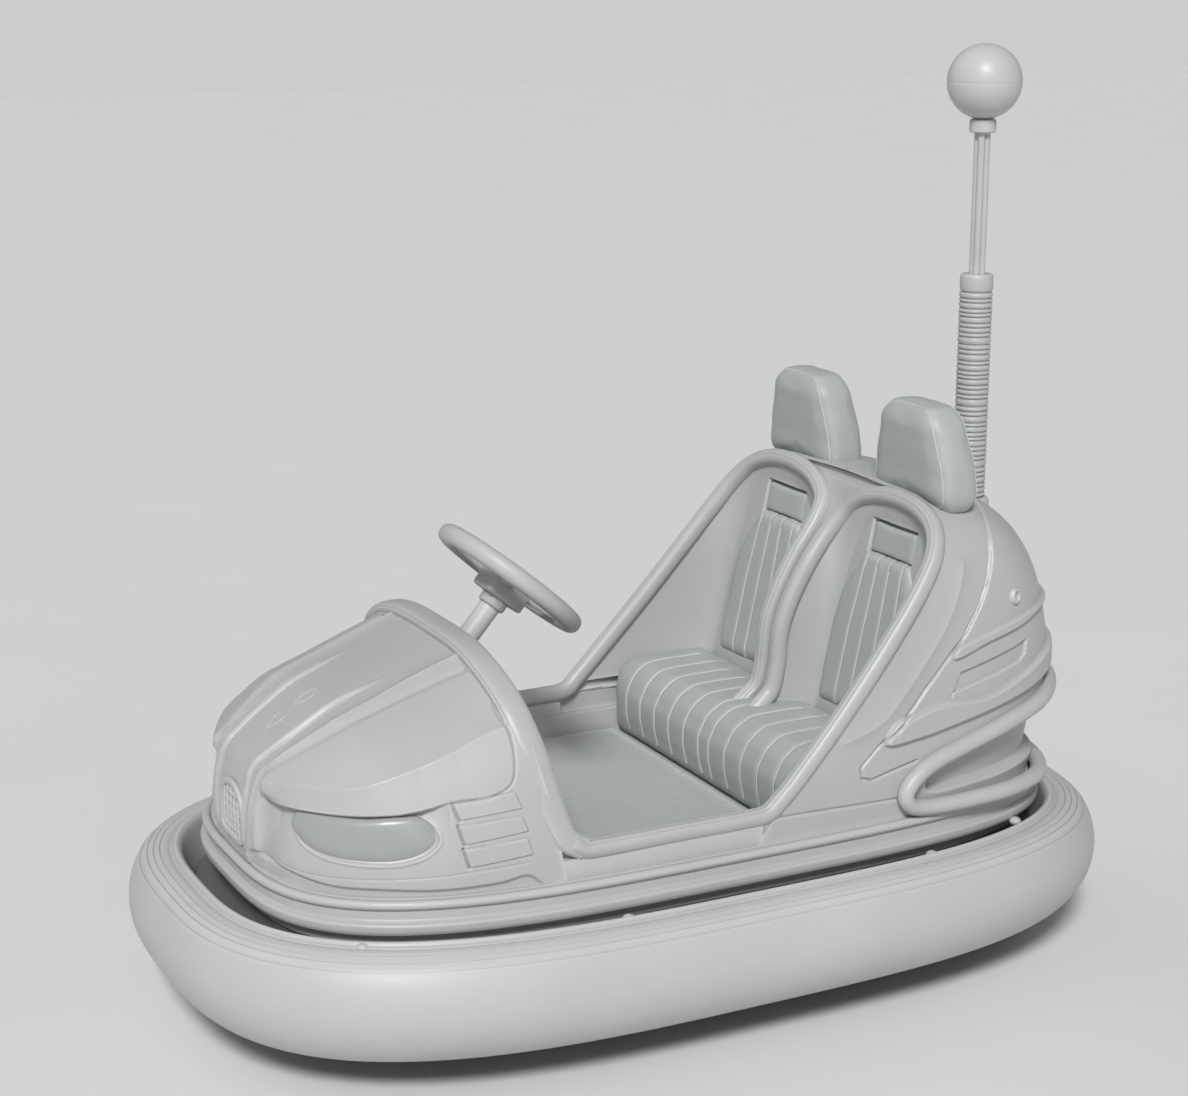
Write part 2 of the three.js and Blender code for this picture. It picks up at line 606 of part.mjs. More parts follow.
// ---------------------------------------------------------------- mast and ball
add('mast_socket', turned([[0, 740], [44, 740], [44, SOCKET_TOP_Z - 8], [38, SOCKET_TOP_Z], [0, SOCKET_TOP_Z]], 0, MAST_Y)
  .subtract(rearGrown), STEEL);
add('mast_spring', turned([
  [0, SOCKET_TOP_Z + GAP], [35, SOCKET_TOP_Z + GAP], [35, SPRING_TOP_Z], [0, SPRING_TOP_Z],
], 0, MAST_Y), STEEL);
add('mast_cap', turned([
  [0, SPRING_TOP_Z + GAP], [34, SPRING_TOP_Z + GAP], [34, CAP_TOP_Z - 3], [31, CAP_TOP_Z], [0, CAP_TOP_Z],
], 0, MAST_Y, 20), STEEL);
const rod = (x, y) => turned([
  [0, CAP_TOP_Z + GAP], [7.5, CAP_TOP_Z + GAP], [7.5, RODS_TOP_Z - GAP], [0, RODS_TOP_Z - GAP],
], x, MAST_Y + y, 10);
add('mast_rods', join(rod(6.5, 6.5), rod(-6.5, 6.5), rod(-6.5, -6.5), rod(6.5, -6.5)), STEEL);
const collarTop = BALL_Z - BALL_RADIUS - GAP;
add('ball_collar', turned([[0, RODS_TOP_Z], [27, RODS_TOP_Z], [27, collarTop], [0, collarTop]], 0, MAST_Y), STEEL);
const ball = new THREE.SphereGeometry(BALL_RADIUS, 24, 14).rotateX(Math.PI / 2).translate(0, MAST_Y, BALL_Z);
add('mast_ball', solid(ball), STEEL);

// ---------------------------------------------------------------- drive unit
const CROWN_TOP_Z = 244.5;
const CROWN_LOW_Z = 228;
const ARM_IN = DRIVE_TYRE_WIDTH / 2 + 6;
const ARM_OUT = ARM_IN + 12;
add('drive_turntable', turned([
  [25 + RUNNING, CROWN_TOP_Z + RUNNING], [90, CROWN_TOP_Z + RUNNING], [90, BRIDGE_LOW_Z - GAP],
  [25 + RUNNING, BRIDGE_LOW_Z - GAP], [25 + RUNNING, CROWN_TOP_Z + RUNNING],
], 0, DRIVE_Y), STEEL);
const forkArm = (side) => {
  const [x0, x1] = side > 0 ? [ARM_IN, ARM_OUT] : [-ARM_OUT, -ARM_IN];
  return box(x0, x1, DRIVE_Y - 32, DRIVE_Y + 32, DRIVE_TYRE_RADIUS - 30, CROWN_LOW_Z + 2);
};
const axleHole = turnedAcross([[0, -60], [12 + RUNNING, -60], [12 + RUNNING, 60], [0, 60]], DRIVE_Y, DRIVE_TYRE_RADIUS);
add('drive_fork', join(
  turned([
    [0, CROWN_LOW_Z], [85, CROWN_LOW_Z], [85, CROWN_TOP_Z], [25, CROWN_TOP_Z], [25, 258], [0, 258],
  ], 0, DRIVE_Y),
  forkArm(1), forkArm(-1),
).subtract(axleHole), STEEL);
add('drive_motor', box(ARM_OUT + GAP, ARM_OUT + 122, DRIVE_Y - 55, DRIVE_Y + 55, 78, CROWN_LOW_Z - GAP), STEEL);
add('drive_hub', turnedAcross([
  [0, -ARM_OUT], [12, -ARM_OUT], [12, -26], [62, -26], [62, 26], [12, 26], [12, ARM_OUT], [0, ARM_OUT],
], DRIVE_Y, DRIVE_TYRE_RADIUS, 32), STEEL);
const tyreSection = (bore, radius, width) => {
  const w = width / 2;
  const profile = [
    [bore, -w + 4], [radius - 14, -w], [radius - 4, -w + 5], [radius, -w + 14], [radius, w - 14],
    [radius - 4, w - 5], [radius - 14, w], [bore, w - 4],
  ];
  return [...profile, profile[0]];
};
const atX = (profile, x) => profile.map(([r, h]) => [r, h + x]);
add('drive_tyre', turnedAcross(
  tyreSection(62 + GAP, DRIVE_TYRE_RADIUS, DRIVE_TYRE_WIDTH), DRIVE_Y, DRIVE_TYRE_RADIUS, 32), RUBBER);

// ---------------------------------------------------------------- rear axle and wheels
const HANGER_X = [145, 172];
const stub = (side) => turnedAcross(
  atX([[0, 0], [12, 0], [12, 84], [0, 84]], 0).map(([r, h]) => [r, side * (HANGER_X[1] - 4 + h)]),
  REAR_WHEEL_Y, REAR_TYRE_RADIUS, 20);
const hanger = (side) => {
  const [x0, x1] = side > 0 ? HANGER_X : [-HANGER_X[1], -HANGER_X[0]];
  return box(x0, x1, REAR_WHEEL_Y - 30, REAR_WHEEL_Y + 30, REAR_TYRE_RADIUS - 22, 195 - GAP);
};
add('rear_axle_beam', join(
  box(-HANGER_X[1], HANGER_X[1], REAR_WHEEL_Y - 22, REAR_WHEEL_Y + 22, REAR_TYRE_RADIUS - 18, REAR_TYRE_RADIUS + 22),
  hanger(1), hanger(-1), stub(1), stub(-1),
), STEEL);
for (const [side, word] of [[1, 'left'], [-1, 'right']]) {
  const x = side * REAR_WHEEL_X;
  add(`rear_hub_${word}`, turnedAcross(atX([
    [12 + RUNNING, -22], [52, -22], [52, 22], [12 + RUNNING, 22], [12 + RUNNING, -22],
  ], x), REAR_WHEEL_Y, REAR_TYRE_RADIUS, 28), STEEL);
  add(`rear_tyre_${word}`, turnedAcross(
    atX(tyreSection(52 + GAP, REAR_TYRE_RADIUS, REAR_TYRE_WIDTH), x), REAR_WHEEL_Y, REAR_TYRE_RADIUS, 28), RUBBER);
}

export default group;
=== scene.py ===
import logging
import math
from dataclasses import dataclass, field
from enum import Enum
from typing import Callable, Sequence

import bpy
import numpy as np
from mathutils import Matrix, Vector


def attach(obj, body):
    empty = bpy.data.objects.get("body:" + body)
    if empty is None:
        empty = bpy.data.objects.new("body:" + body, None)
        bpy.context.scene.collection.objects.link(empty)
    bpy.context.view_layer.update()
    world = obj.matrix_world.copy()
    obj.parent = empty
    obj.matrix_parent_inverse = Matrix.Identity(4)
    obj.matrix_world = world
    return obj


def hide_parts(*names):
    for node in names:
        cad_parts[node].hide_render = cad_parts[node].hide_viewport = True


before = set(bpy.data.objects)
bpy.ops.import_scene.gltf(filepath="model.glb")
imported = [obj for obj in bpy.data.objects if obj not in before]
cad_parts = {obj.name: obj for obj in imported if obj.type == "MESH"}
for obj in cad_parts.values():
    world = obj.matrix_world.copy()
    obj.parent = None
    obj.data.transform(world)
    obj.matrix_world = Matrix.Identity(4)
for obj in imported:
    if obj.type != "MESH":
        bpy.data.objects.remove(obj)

logging.basicConfig(level=logging.INFO, format="%(message)s")
LOG = logging.getLogger("bumper_car")

MM = 0.001
Array = np.ndarray
Place = Callable[[Array, Array], Array]
Point = tuple[float, float, float]


# ------------------------------------------------------------------ finishes
@dataclass(frozen=True)
class Finish:
    """A moulded, painted or sewn finish made of procedural nodes."""

    name: str
    slot: str
    colour: tuple[float, float, float]
    roughness: float
    grain_size: float
    grain_depth: float
    mottle: float = 0.035
    # Strength of the painted shade that darkens hollows and of the painted highlight that lightens edges.
    painted_cavity_light: float = 0.35
    coat: float = 0.0
    metallic: float = 0.0

    def material(self) -> bpy.types.Material:
        """Makes the node material, or returns it if it is there already.

        Returns:
            The material with mottled colour, painted shade in hollows, a painted highlight on edges, uneven roughness
            and a fine grain.
        """
        found = bpy.data.materials.get(self.name)
        if found:
            return found
        mat = bpy.data.materials.new(self.name)
        mat.use_nodes = True
        nodes, links = mat.node_tree.nodes, mat.node_tree.links
        shader = nodes["Principled BSDF"]
        shader.inputs["Metallic"].default_value = self.metallic
        shader.inputs["Coat Weight"].default_value = self.coat
        shader.inputs["Coat Roughness"].default_value = 0.25
        place = nodes.new("ShaderNodeTexCoord")
        cloud = self._noise(nodes, links, place, 3.5, 5.0)
        speck = self._noise(nodes, links, place, 1.0 / self.grain_size, 3.0)
        tint = nodes.new("ShaderNodeMapRange")
        tint.inputs["From Min"].default_value = 0.3
        tint.inputs["From Max"].default_value = 0.7
        tint.inputs["To Min"].default_value = 1.0 - self.mottle
        tint.inputs["To Max"].default_value = 1.0 + self.mottle
        links.new(cloud.outputs["Fac"], tint.inputs["Value"])
        # Pointiness paints shade into hollows and a highlight along edges; the highlight also stands for edge wear.
        edges = self._paint_cavity_light(nodes, links)
        shade = nodes.new("ShaderNodeMath")
        shade.operation = "MULTIPLY"
        links.new(tint.outputs["Result"], shade.inputs[0])
        links.new(edges.outputs["Result"], shade.inputs[1])
        colour = nodes.new("ShaderNodeVectorMath")
        colour.operation = "SCALE"
        colour.inputs[0].default_value = self.colour
        links.new(shade.outputs["Value"], colour.inputs["Scale"])
        links.new(colour.outputs["Vector"], shader.inputs["Base Color"])
        gloss = nodes.new("ShaderNodeMapRange")
        gloss.inputs["To Min"].default_value = max(0.05, self.roughness - 0.09)
        gloss.inputs["To Max"].default_value = min(1.0, self.roughness + 0.09)
        links.new(speck.outputs["Fac"], gloss.inputs["Value"])
        links.new(gloss.outputs["Result"], shader.inputs["Roughness"])
        bump = nodes.new("ShaderNodeBump")
        bump.inputs["Strength"].default_value = 0.35
        bump.inputs["Distance"].default_value = self.grain_depth
        links.new(self._relief(nodes, links, place, speck), bump.inputs["Height"])
        links.new(bump.outputs["Normal"], shader.inputs["Normal"])
        return mat

    def _noise(self, nodes: bpy.types.Nodes, links: bpy.types.NodeLinks, place: bpy.types.Node,
               scale: float, detail: float) -> bpy.types.Node:
        """Adds a noise texture in object space.

        Args:
            nodes: the material's nodes.
            links: the material's links.
            place: the texture coordinates.
            scale: how fine the noise is.
            detail: its detail.

        Returns:
            The noise node.
        """
        noise = nodes.new("ShaderNodeTexNoise")
        noise.inputs["Scale"].default_value = scale
        noise.inputs["Detail"].default_value = detail
        links.new(place.outputs["Object"], noise.inputs["Vector"])
        return noise

    def _paint_cavity_light(self, nodes: bpy.types.Nodes, links: bpy.types.NodeLinks) -> bpy.types.Node:
        """Paints shade into hollows and a highlight along edges, which also stands for edge wear.

        Args:
            nodes: the material's nodes.
            links: the material's links.

        Returns:
            The node whose result multiplies the colour.
        """
        geometry = nodes.new("ShaderNodeNewGeometry")
        edges = nodes.new("ShaderNodeMapRange")
        edges.inputs["From Min"].default_value = 0.40
        edges.inputs["From Max"].default_value = 0.60
        edges.inputs["To Min"].default_value = 1.0 - self.painted_cavity_light
        edges.inputs["To Max"].default_value = 1.0 + 0.4 * self.painted_cavity_light
        links.new(geometry.outputs["Pointiness"], edges.inputs["Value"])
        return edges

    def _relief(self, nodes: bpy.types.Nodes, links: bpy.types.NodeLinks, place: bpy.types.Node,
                speck: bpy.types.Node) -> bpy.types.NodeSocket:
        """Gives the height that the bump reads.

        Returns:
            The socket with the height.
        """
        return speck.outputs["Fac"]


@dataclass(frozen=True)
class Leather(Finish):
    """A sewn cover with a pebbled grain."""

    def _relief(self, nodes: bpy.types.Nodes, links: bpy.types.NodeLinks, place: bpy.types.Node,
                speck: bpy.types.Node) -> bpy.types.NodeSocket:
        """Adds the leather's pebbles to the fine noise.

        Args:
            nodes: the material's nodes.
            links: the material's links.
            place: the texture coordinates.
            speck: the fine noise.

        Returns:
            The socket with the height.
        """
        cells = nodes.new("ShaderNodeTexVoronoi")
        cells.inputs["Scale"].default_value = 0.45 / self.grain_size
        links.new(place.outputs["Object"], cells.inputs["Vector"])
        total = nodes.new("ShaderNodeMath")
        total.operation = "ADD"
        links.new(cells.outputs["Distance"], total.inputs[0])
        links.new(speck.outputs["Fac"], total.inputs[1])
        return total.outputs["Value"]


@dataclass(frozen=True)
class Brushed(Finish):
    """Metal or rubber with fine lines drawn along one direction."""

    stretch: tuple[float, float, float] = (1.0, 1.0, 0.05)

    def _relief(self, nodes: bpy.types.Nodes, links: bpy.types.NodeLinks, place: bpy.types.Node,
                speck: bpy.types.Node) -> bpy.types.NodeSocket:
        """Adds noise drawn out along one direction.

        Args:
            nodes: the material's nodes.
            links: the material's links.
            place: the texture coordinates.
            speck: the fine noise.

        Returns:
            The socket with the height.
        """
        turn = nodes.new("ShaderNodeMapping")
        turn.inputs["Scale"].default_value = self.stretch
        links.new(place.outputs["Object"], turn.inputs["Vector"])
        lines = nodes.new("ShaderNodeTexNoise")
        lines.inputs["Scale"].default_value = 0.5 / self.grain_size
        links.new(turn.outputs["Vector"], lines.inputs["Vector"])
        return lines.outputs["Fac"]


SHELL = Finish("moulded_shell", "body_shell", (0.49, 0.495, 0.495), 0.42, 0.004, 0.0002)
BUMPER_SKIN = Finish("bumper_skin", "black_rubber", (0.525, 0.53, 0.53), 0.46, 0.003, 0.0003)
# Dark steel of the chassis; on the gap strip the same dark tone is painted shade.
CHASSIS_PAINT_AND_GAP_SHADE = Finish("chassis_paint_and_gap_shade", "dark_steel", (0.13, 0.13, 0.135), 0.60, 0.004, 0.0004)
COLUMN_PAINT = Finish("column_paint", "dark_steel", (0.50, 0.505, 0.50), 0.42, 0.003, 0.0002)
MAT_RUBBER = Brushed("mat_rubber", "floor_rubber", (0.43, 0.442, 0.442), 0.66, 0.002, 0.0005,
                     stretch=(1.0, 0.05, 1.0))
GRILLE_METAL = Finish("grille_metal", "bright_trim", (0.50, 0.505, 0.505), 0.38, 0.003, 0.0002)
LENS = Finish("lens_plastic", "lamp_lens", (0.37, 0.38, 0.38), 0.34, 0.006, 0.00005, coat=0.15)
WHEEL_GRIP = Finish("wheel_skin", "wheel_grip", (0.48, 0.485, 0.485), 0.46, 0.002, 0.0003)
SEAT_COVER = Leather("sewn_cover", "seat_cover", (0.435, 0.463, 0.460), 0.50, 0.0022, 0.0003)
PIPING = Finish("seat_piping", "seat_cover", (0.54, 0.55, 0.55), 0.50, 0.002, 0.0002)
MAST_METAL = Brushed("mast_metal", "mast_steel", (0.48, 0.485, 0.48), 0.40, 0.002, 0.0003)
BALL_SHELL = Finish("ball_skin", "ball_shell", (0.57, 0.575, 0.57), 0.42, 0.005, 0.0002)
TYRE_RUBBER = Finish("tyre_tread", "tyre_rubber", (0.05, 0.05, 0.052), 0.80, 0.003, 0.0006)


# ------------------------------------------------------------------ curves and sections
def smooth_curve(at: Array, stations: Array, values: Array) -> Array:
    """Reads a smooth curve through stations.

    Args:
        at: where to read it.
        stations: rising stations.
        values: the value at each station.

    Returns:
        The values of the cubic curve.
    """
    slope = np.gradient(values, stations)
    k = np.clip(np.searchsorted(stations, at) - 1, 0, len(stations) - 2)
    width = stations[k + 1] - stations[k]
    t = np.clip((at - stations[k]) / width, 0.0, 1.0)
    return (
        (2 * t**3 - 3 * t**2 + 1) * values[k] + (t**3 - 2 * t**2 + t) * width * slope[k]
        + (3 * t**2 - 2 * t**3) * values[k + 1] + (t**3 - t**2) * width * slope[k + 1]
    )


def power(value: Array, exponent: float | Array) -> Array:
    """Raises to a power and keeps the sign."""
    return np.sign(value) * np.abs(value) ** exponent


@dataclass(frozen=True)
class Oval:
    """Rounded-square outline seen from above, in millimetres, nose towards -Y."""

    half_width: float
    front: float
    rear: float
    front_power: float
    rear_power: float

    def table(self, count: int = 6000) -> tuple[Array, Array]:
        """Samples the outline from the left side round by the rear.

        Args:
            count: number of samples.

        Returns:
            The points, and their share of the whole length.
        """
        a = np.linspace(0.0, 2 * np.pi, count + 1)
        sine = np.sin(a)
        exponent = np.where(sine >= 0, self.rear_power, self.front_power)
        reach = np.where(sine >= 0, self.rear, self.front)
        points = np.stack([self.half_width * power(np.cos(a), 2 / exponent),
                           reach * power(sine, 2 / exponent)], axis=1)
        run = np.concatenate([[0.0], np.cumsum(np.linalg.norm(np.diff(points, axis=0), axis=1))])
        return points, run

    def at(self, share: Array) -> tuple[Array, Array]:
        """Gives points and outward normals.

        Args:
            share: share of the outline's length, from 0 to 1.

        Returns:
            The points and the normals.
        """
        points, run = self.table()
        x = np.interp(share * run[-1], run, points[:, 0])
        y = np.interp(share * run[-1], run, points[:, 1])
        reach = np.where(y >= 0, self.rear, self.front)
        exponent = np.where(y >= 0, self.rear_power, self.front_power) - 1
        normal = np.stack([power(x / self.half_width, exponent) / self.half_width,
                           power(y / reach, exponent) / reach], axis=1)
        normal /= np.linalg.norm(normal, axis=1, keepdims=True)
        return np.stack([x, y], axis=1), normal

    def half_at(self, y: Array) -> Array:
        """Gives the half width at a place along the car.

        Args:
            y: the place.

        Returns:
            The half width there.
        """
        reach = np.where(y >= 0, self.rear, self.front)
        exponent = np.where(y >= 0, self.rear_power, self.front_power)
        inside = np.clip(1 - np.abs(y / reach) ** exponent, 0.0, 1.0)
        return self.half_width * inside ** (1 / exponent)

    def unrolled(self, points: Array) -> Array:
        """Turns points on the body's side into [run from the nose, height].

        Args:
            points: points on either side of the car.

        Returns:
            The run along the outline and the height.
        """
        half, run = self.table(2400)
        keep = half[:, 0] >= -1e-9
        turn = np.arctan2(half[keep, 1] / self.rear, half[keep, 0] / self.half_width)
        turn = np.where(half[keep, 1] >= 0, turn,
                        np.arctan2(half[keep, 1] / self.front, half[keep, 0] / self.half_width))
        order = np.argsort(turn)
        turn, sorted_half = turn[order], half[keep][order]
        length = np.concatenate([[0.0], np.cumsum(np.linalg.norm(np.diff(sorted_half, axis=0), axis=1))])
        reach = np.where(points[:, 1] >= 0, self.rear, self.front)
        angle = np.arctan2(points[:, 1] / reach, np.abs(points[:, 0]) / self.half_width)
        return np.stack([np.interp(angle, turn, length), points[:, 2]], axis=1)


def rounded(corners: Sequence[Point], steps: int = 4) -> Array:
    """Rounds the corners of a closed section.

    Args:
        corners: (across, up, radius) of each corner.
        steps: points on each rounded corner.

    Returns:
        The points of the section.
    """
    result = []
    count = len(corners)
    for k, (x, z, radius) in enumerate(corners):
        here = np.array([x, z])
        if radius <= 0:
            result.append(here)
            continue
        before = np.array(corners[k - 1][:2]) - here
        after = np.array(corners[(k + 1) % count][:2]) - here
        reach = min(radius, 0.45 * np.linalg.norm(before), 0.45 * np.linalg.norm(after))
        start = here + before / np.linalg.norm(before) * reach
        end = here + after / np.linalg.norm(after) * reach
        for t in np.linspace(0.0, 1.0, steps):
            result.append((1 - t) ** 2 * start + 2 * t * (1 - t) * here + t**2 * end)
    return np.array(result)


def circle(radius: float, sides: int) -> Array:
    """Gives the points of a round section."""
    a = np.linspace(0.0, 2 * np.pi, sides, endpoint=False)
    return np.stack([radius * np.cos(a), radius * np.sin(a)], axis=1)


@dataclass
class Rail:
    """A smooth line in space through given points, in millimetres."""

    points: Sequence[Point]
    closed: bool = False
    dense: Array = field(init=False)
    run: Array = field(init=False)

    def __post_init__(self) -> None:
        """Samples the line finely."""
        p = np.array(self.points, dtype=float)
        if self.closed:
            p = np.vstack([p[-1], p, p[0], p[1]])
        else:
            p = np.vstack([2 * p[0] - p[1], p, 2 * p[-1] - p[-2]])
        pieces = []
        for k in range(1, len(p) - 2):
            knots = np.concatenate([[0.0], np.cumsum(np.linalg.norm(np.diff(p[k - 1:k + 3], axis=0), axis=1) ** 0.5)])
            t = np.linspace(knots[1], knots[2], 40, endpoint=False)[:, None]
            a = [((knots[i + 1] - t) * p[k - 1 + i] + (t - knots[i]) * p[k + i]) / (knots[i + 1] - knots[i])
                 for i in range(3)]
            b = [((knots[i + 2] - t) * a[i] + (t - knots[i]) * a[i + 1]) / (knots[i + 2] - knots[i])
                 for i in range(2)]
            pieces.append(((knots[2] - t) * b[0] + (t - knots[1]) * b[1]) / (knots[2] - knots[1]))
        self.dense = np.vstack([*pieces, p[-2][None]])
        self.run = np.concatenate([[0.0], np.cumsum(np.linalg.norm(np.diff(self.dense, axis=0), axis=1))])

    def at(self, share: Array) -> tuple[Array, Array]:
        """Gives points and directions.

        Args:
            share: share of the line's length.

        Returns:
            The points and the unit directions.
        """
        step = 0.5 / self.run[-1]
        read = lambda s: np.stack([np.interp(s * self.run[-1], self.run, self.dense[:, c]) for c in range(3)], axis=1)
        if self.closed:
            ahead, back = read((share + step) % 1.0), read((share - step) % 1.0)
        else:
            ahead, back = read(np.clip(share + step, 0, 1)), read(np.clip(share - step, 0, 1))
        along = ahead - back
        return read(share), along / np.linalg.norm(along, axis=1, keepdims=True)

    def spaced(self, gap: float) -> Array:
        """Gives points a fixed gap apart."""
        return self.at(np.linspace(0.0, 1.0, max(2, int(self.run[-1] / gap) + 1)))[0]


# ------------------------------------------------------------------ mesh tools
def deselect_all() -> None:
    """Leaves edit mode and clears the selection."""
    if bpy.context.mode != "OBJECT":
        bpy.ops.object.mode_set(mode="OBJECT")
    bpy.ops.object.select_all(action="DESELECT")


def activate(piece: bpy.types.Object) -> None:
    """Makes a piece the only selected and active object.

    Args:
        piece: the piece.
    """
    deselect_all()
    piece.select_set(True)
    bpy.context.view_layer.objects.active = piece


def coordinates(piece: bpy.types.Object) -> Array:
    """Reads a piece's vertices in millimetres.

    Args:
        piece: the piece.

    Returns:
        The points in millimetres.
    """
    flat = np.empty(len(piece.data.vertices) * 3)
    piece.data.vertices.foreach_get("co", flat)
    return flat.reshape(-1, 3) / MM


def set_coordinates(piece: bpy.types.Object, points: Array) -> None:
    """Writes a piece's vertices from millimetres."""
    piece.data.vertices.foreach_set("co", (points * MM).ravel())
    piece.data.update()


def normals(piece: bpy.types.Object) -> Array:
    """Reads a piece's vertex normals.

    Args:
        piece: the piece.

    Returns:
        The unit normals.
    """
    flat = np.empty(len(piece.data.vertices) * 3, dtype=np.float32)
    piece.data.vertex_normals.foreach_get("vector", flat)
    return flat.reshape(-1, 3).astype(float)


def smooth(piece: bpy.types.Object, degrees: float = 45.0) -> None:
    """Shades a piece smooth up to an angle."""
    activate(piece)
    bpy.ops.object.shade_smooth_by_angle(angle=math.radians(degrees))


def apply_modifier(piece: bpy.types.Object, kind: str, **settings: object) -> None:
    """Adds a modifier and applies it.

    Args:
        piece: the piece.
        kind: the modifier's type.
        settings: its settings.
    """
    activate(piece)
    modifier = piece.modifiers.new(kind.title(), kind)
    for key, value in settings.items():
        setattr(modifier, key, value)
    bpy.ops.object.modifier_apply(modifier=modifier.name)


def place_here(piece: bpy.types.Object) -> None:
    """Moves a piece's place into its mesh, so that the object sits at the origin."""
    activate(piece)
    bpy.ops.object.transform_apply(location=True, rotation=True, scale=True)


def tidy_mesh(piece: bpy.types.Object, merge: float = 0.01, fill: bool = False) -> None:
    """Merges seams, may close holes, and turns the faces outwards.

    Args:
        piece: the piece.
        merge: distance within which vertices merge, in millimetres.
        fill: whether open ends are closed.
    """
    activate(piece)
    bpy.ops.object.mode_set(mode="EDIT")
    bpy.ops.mesh.select_all(action="SELECT")
    bpy.ops.mesh.remove_doubles(threshold=merge * MM)
    if fill:
        bpy.ops.mesh.fill_holes(sides=0)
        bpy.ops.mesh.select_all(action="SELECT")
    bpy.ops.mesh.normals_make_consistent(inside=False)
    bpy.ops.object.mode_set(mode="OBJECT")


def woven(name: str, across: int, along: int, place: Place, fill: bool = False,
          degrees: float = 45.0, merge: float = 0.01) -> bpy.types.Object:
    """Adds a flat grid and wraps it into a form.

    Args:
        name: the piece's name.
        across: faces in the first direction.
        along: faces in the second direction.
        place: gives the form's points, in millimetres, from two shares.
        fill: whether open ends are closed.
        degrees: shading angle.
        merge: merging distance in millimetres.

    Returns:
        The piece.
    """
    deselect_all()
    bpy.ops.mesh.primitive_grid_add(x_subdivisions=across, y_subdivisions=along, size=1.0)
    piece = bpy.context.active_object
    piece.name = piece.data.name = name
    shares = coordinates(piece)[:, :2] * MM + 0.5
    set_coordinates(piece, place(np.clip(shares[:, 0], 0, 1), np.clip(shares[:, 1], 0, 1)))
    tidy_mesh(piece, merge, fill)
    smooth(piece, degrees)
    return piece


def read_section(section: Array, share: Array) -> tuple[Array, Array]:
    """Reads a closed section by the share of its points.

    Args:
        section: the section's points.
        share: share of its points, from 0 to 1.

    Returns:
        The two coordinates.
    """
    whole = np.vstack([section, section[:1]])
    k = share * len(section)
    index = np.arange(len(whole))
    return np.interp(k, index, whole[:, 0]), np.interp(k, index, whole[:, 1])


def ringed(name: str, oval: Oval, section: Array, count: int, degrees: float = 40.0) -> bpy.types.Object:
    """Runs a closed section round an oval.

    Args:
        name: the piece's name.
        oval: the outline that it follows.
        section: [outward offset, height] points.
        count: steps round the oval.
        degrees: shading angle.

    Returns:
        The piece.
    """
    def place(u: Array, v: Array) -> Array:
        """Wraps the section along its line.

        Args:
            u: share across.
            v: share along.

        Returns:
            The points.
        """
        points, outward = oval.at(u)
        offset, height = read_section(section, v)
        return np.column_stack([points + outward * offset[:, None], height])

    return woven(name, count, len(section), place, degrees=degrees)


def swept(name: str, rail: Rail, section: Array, away: Callable[[Array], Array], step: float = 6.0,
          offset: tuple[float, float] = (0.0, 0.0), degrees: float = 40.0,
          grow: Callable[[Array], Array] | None = None) -> bpy.types.Object:
    """Runs a closed section along a rail.

    Args:
        name: the piece's name.
        rail: the line that it follows.
        section: [away, across] points.
        away: gives the direction of the section's first axis at each point.
        step: length of a face along the rail.
        offset: shift of the section in its own plane.
        degrees: shading angle.
        grow: scale of the section at each share of the length.

    Returns:
        The piece.
    """
    def place(u: Array, v: Array) -> Array:
        """Wraps the section along its line.

        Args:
            u: share across.
            v: share along.

        Returns:
            The points.
        """
        share = np.where(u >= 1.0, 0.0, u) if rail.closed else u
        points, along = rail.at(share)
        outward = away(points)
        outward = outward - along * (outward * along).sum(axis=1, keepdims=True)
        outward /= np.linalg.norm(outward, axis=1, keepdims=True)
        side = np.cross(along, outward)
        first, second = read_section(section, v)
        scale = grow(share) if grow else np.ones_like(share)
        return (points + outward * (first * scale + offset[0])[:, None]
                + side * (second * scale + offset[1])[:, None])

    count = int(rail.run[-1] / step)
    return woven(name, count, len(section), place, fill=not rail.closed, degrees=degrees)


def joined(name: str, pieces: Sequence[bpy.types.Object]) -> bpy.types.Object:
    """Joins pieces into one object.

    Args:
        name: the piece's name.
        pieces: the pieces to join.

    Returns:
        The joined piece.
    """
    deselect_all()
    for piece in pieces:
        piece.select_set(True)
    bpy.context.view_layer.objects.active = pieces[0]
    if len(pieces) > 1:
        bpy.ops.object.join()
    pieces[0].name = pieces[0].data.name = name
    return pieces[0]


def block(name: str, low: Point, high: Point, bevel: float = 2.0, segments: int = 3) -> bpy.types.Object:
    """Adds a cube of a given size and bevels its edges.

    Args:
        name: the piece's name.
        low: lowest corner in millimetres.
        high: highest corner in millimetres.
        bevel: width of the bevel.
        segments: steps of the bevel.

    Returns:
        The piece.
    """
    deselect_all()
    middle = (Vector(low) + Vector(high)) * 0.5 * MM
    bpy.ops.mesh.primitive_cube_add(size=1.0, location=middle, scale=(Vector(high) - Vector(low)) * MM)
    piece = bpy.context.active_object
    piece.name = piece.data.name = name
    place_here(piece)
    bpy.ops.object.mode_set(mode="EDIT")
    bpy.ops.mesh.select_all(action="SELECT")
    bpy.ops.mesh.bevel(offset=bevel * MM, segments=segments, profile=0.5, affect="EDGES")
    bpy.ops.object.mode_set(mode="OBJECT")
    smooth(piece, 35.0)
    return piece


def mirrored_copy(piece: bpy.types.Object, name: str) -> bpy.types.Object:
    """Copies a piece to the other side of the car.

    Args:
        piece: the piece.
        name: the copy's name.

    Returns:
        The copy, with its own mesh and its faces turned out.
    """
    copy = piece.copy()
    copy.data = piece.data.copy()
    copy.name = copy.data.name = name
    bpy.context.scene.collection.objects.link(copy)
    set_coordinates(copy, coordinates(copy) * np.array([-1.0, 1.0, 1.0]))
    activate(copy)
    bpy.ops.object.mode_set(mode="EDIT")
    bpy.ops.mesh.select_all(action="SELECT")
    bpy.ops.mesh.flip_normals()
    bpy.ops.object.mode_set(mode="OBJECT")
    return copy


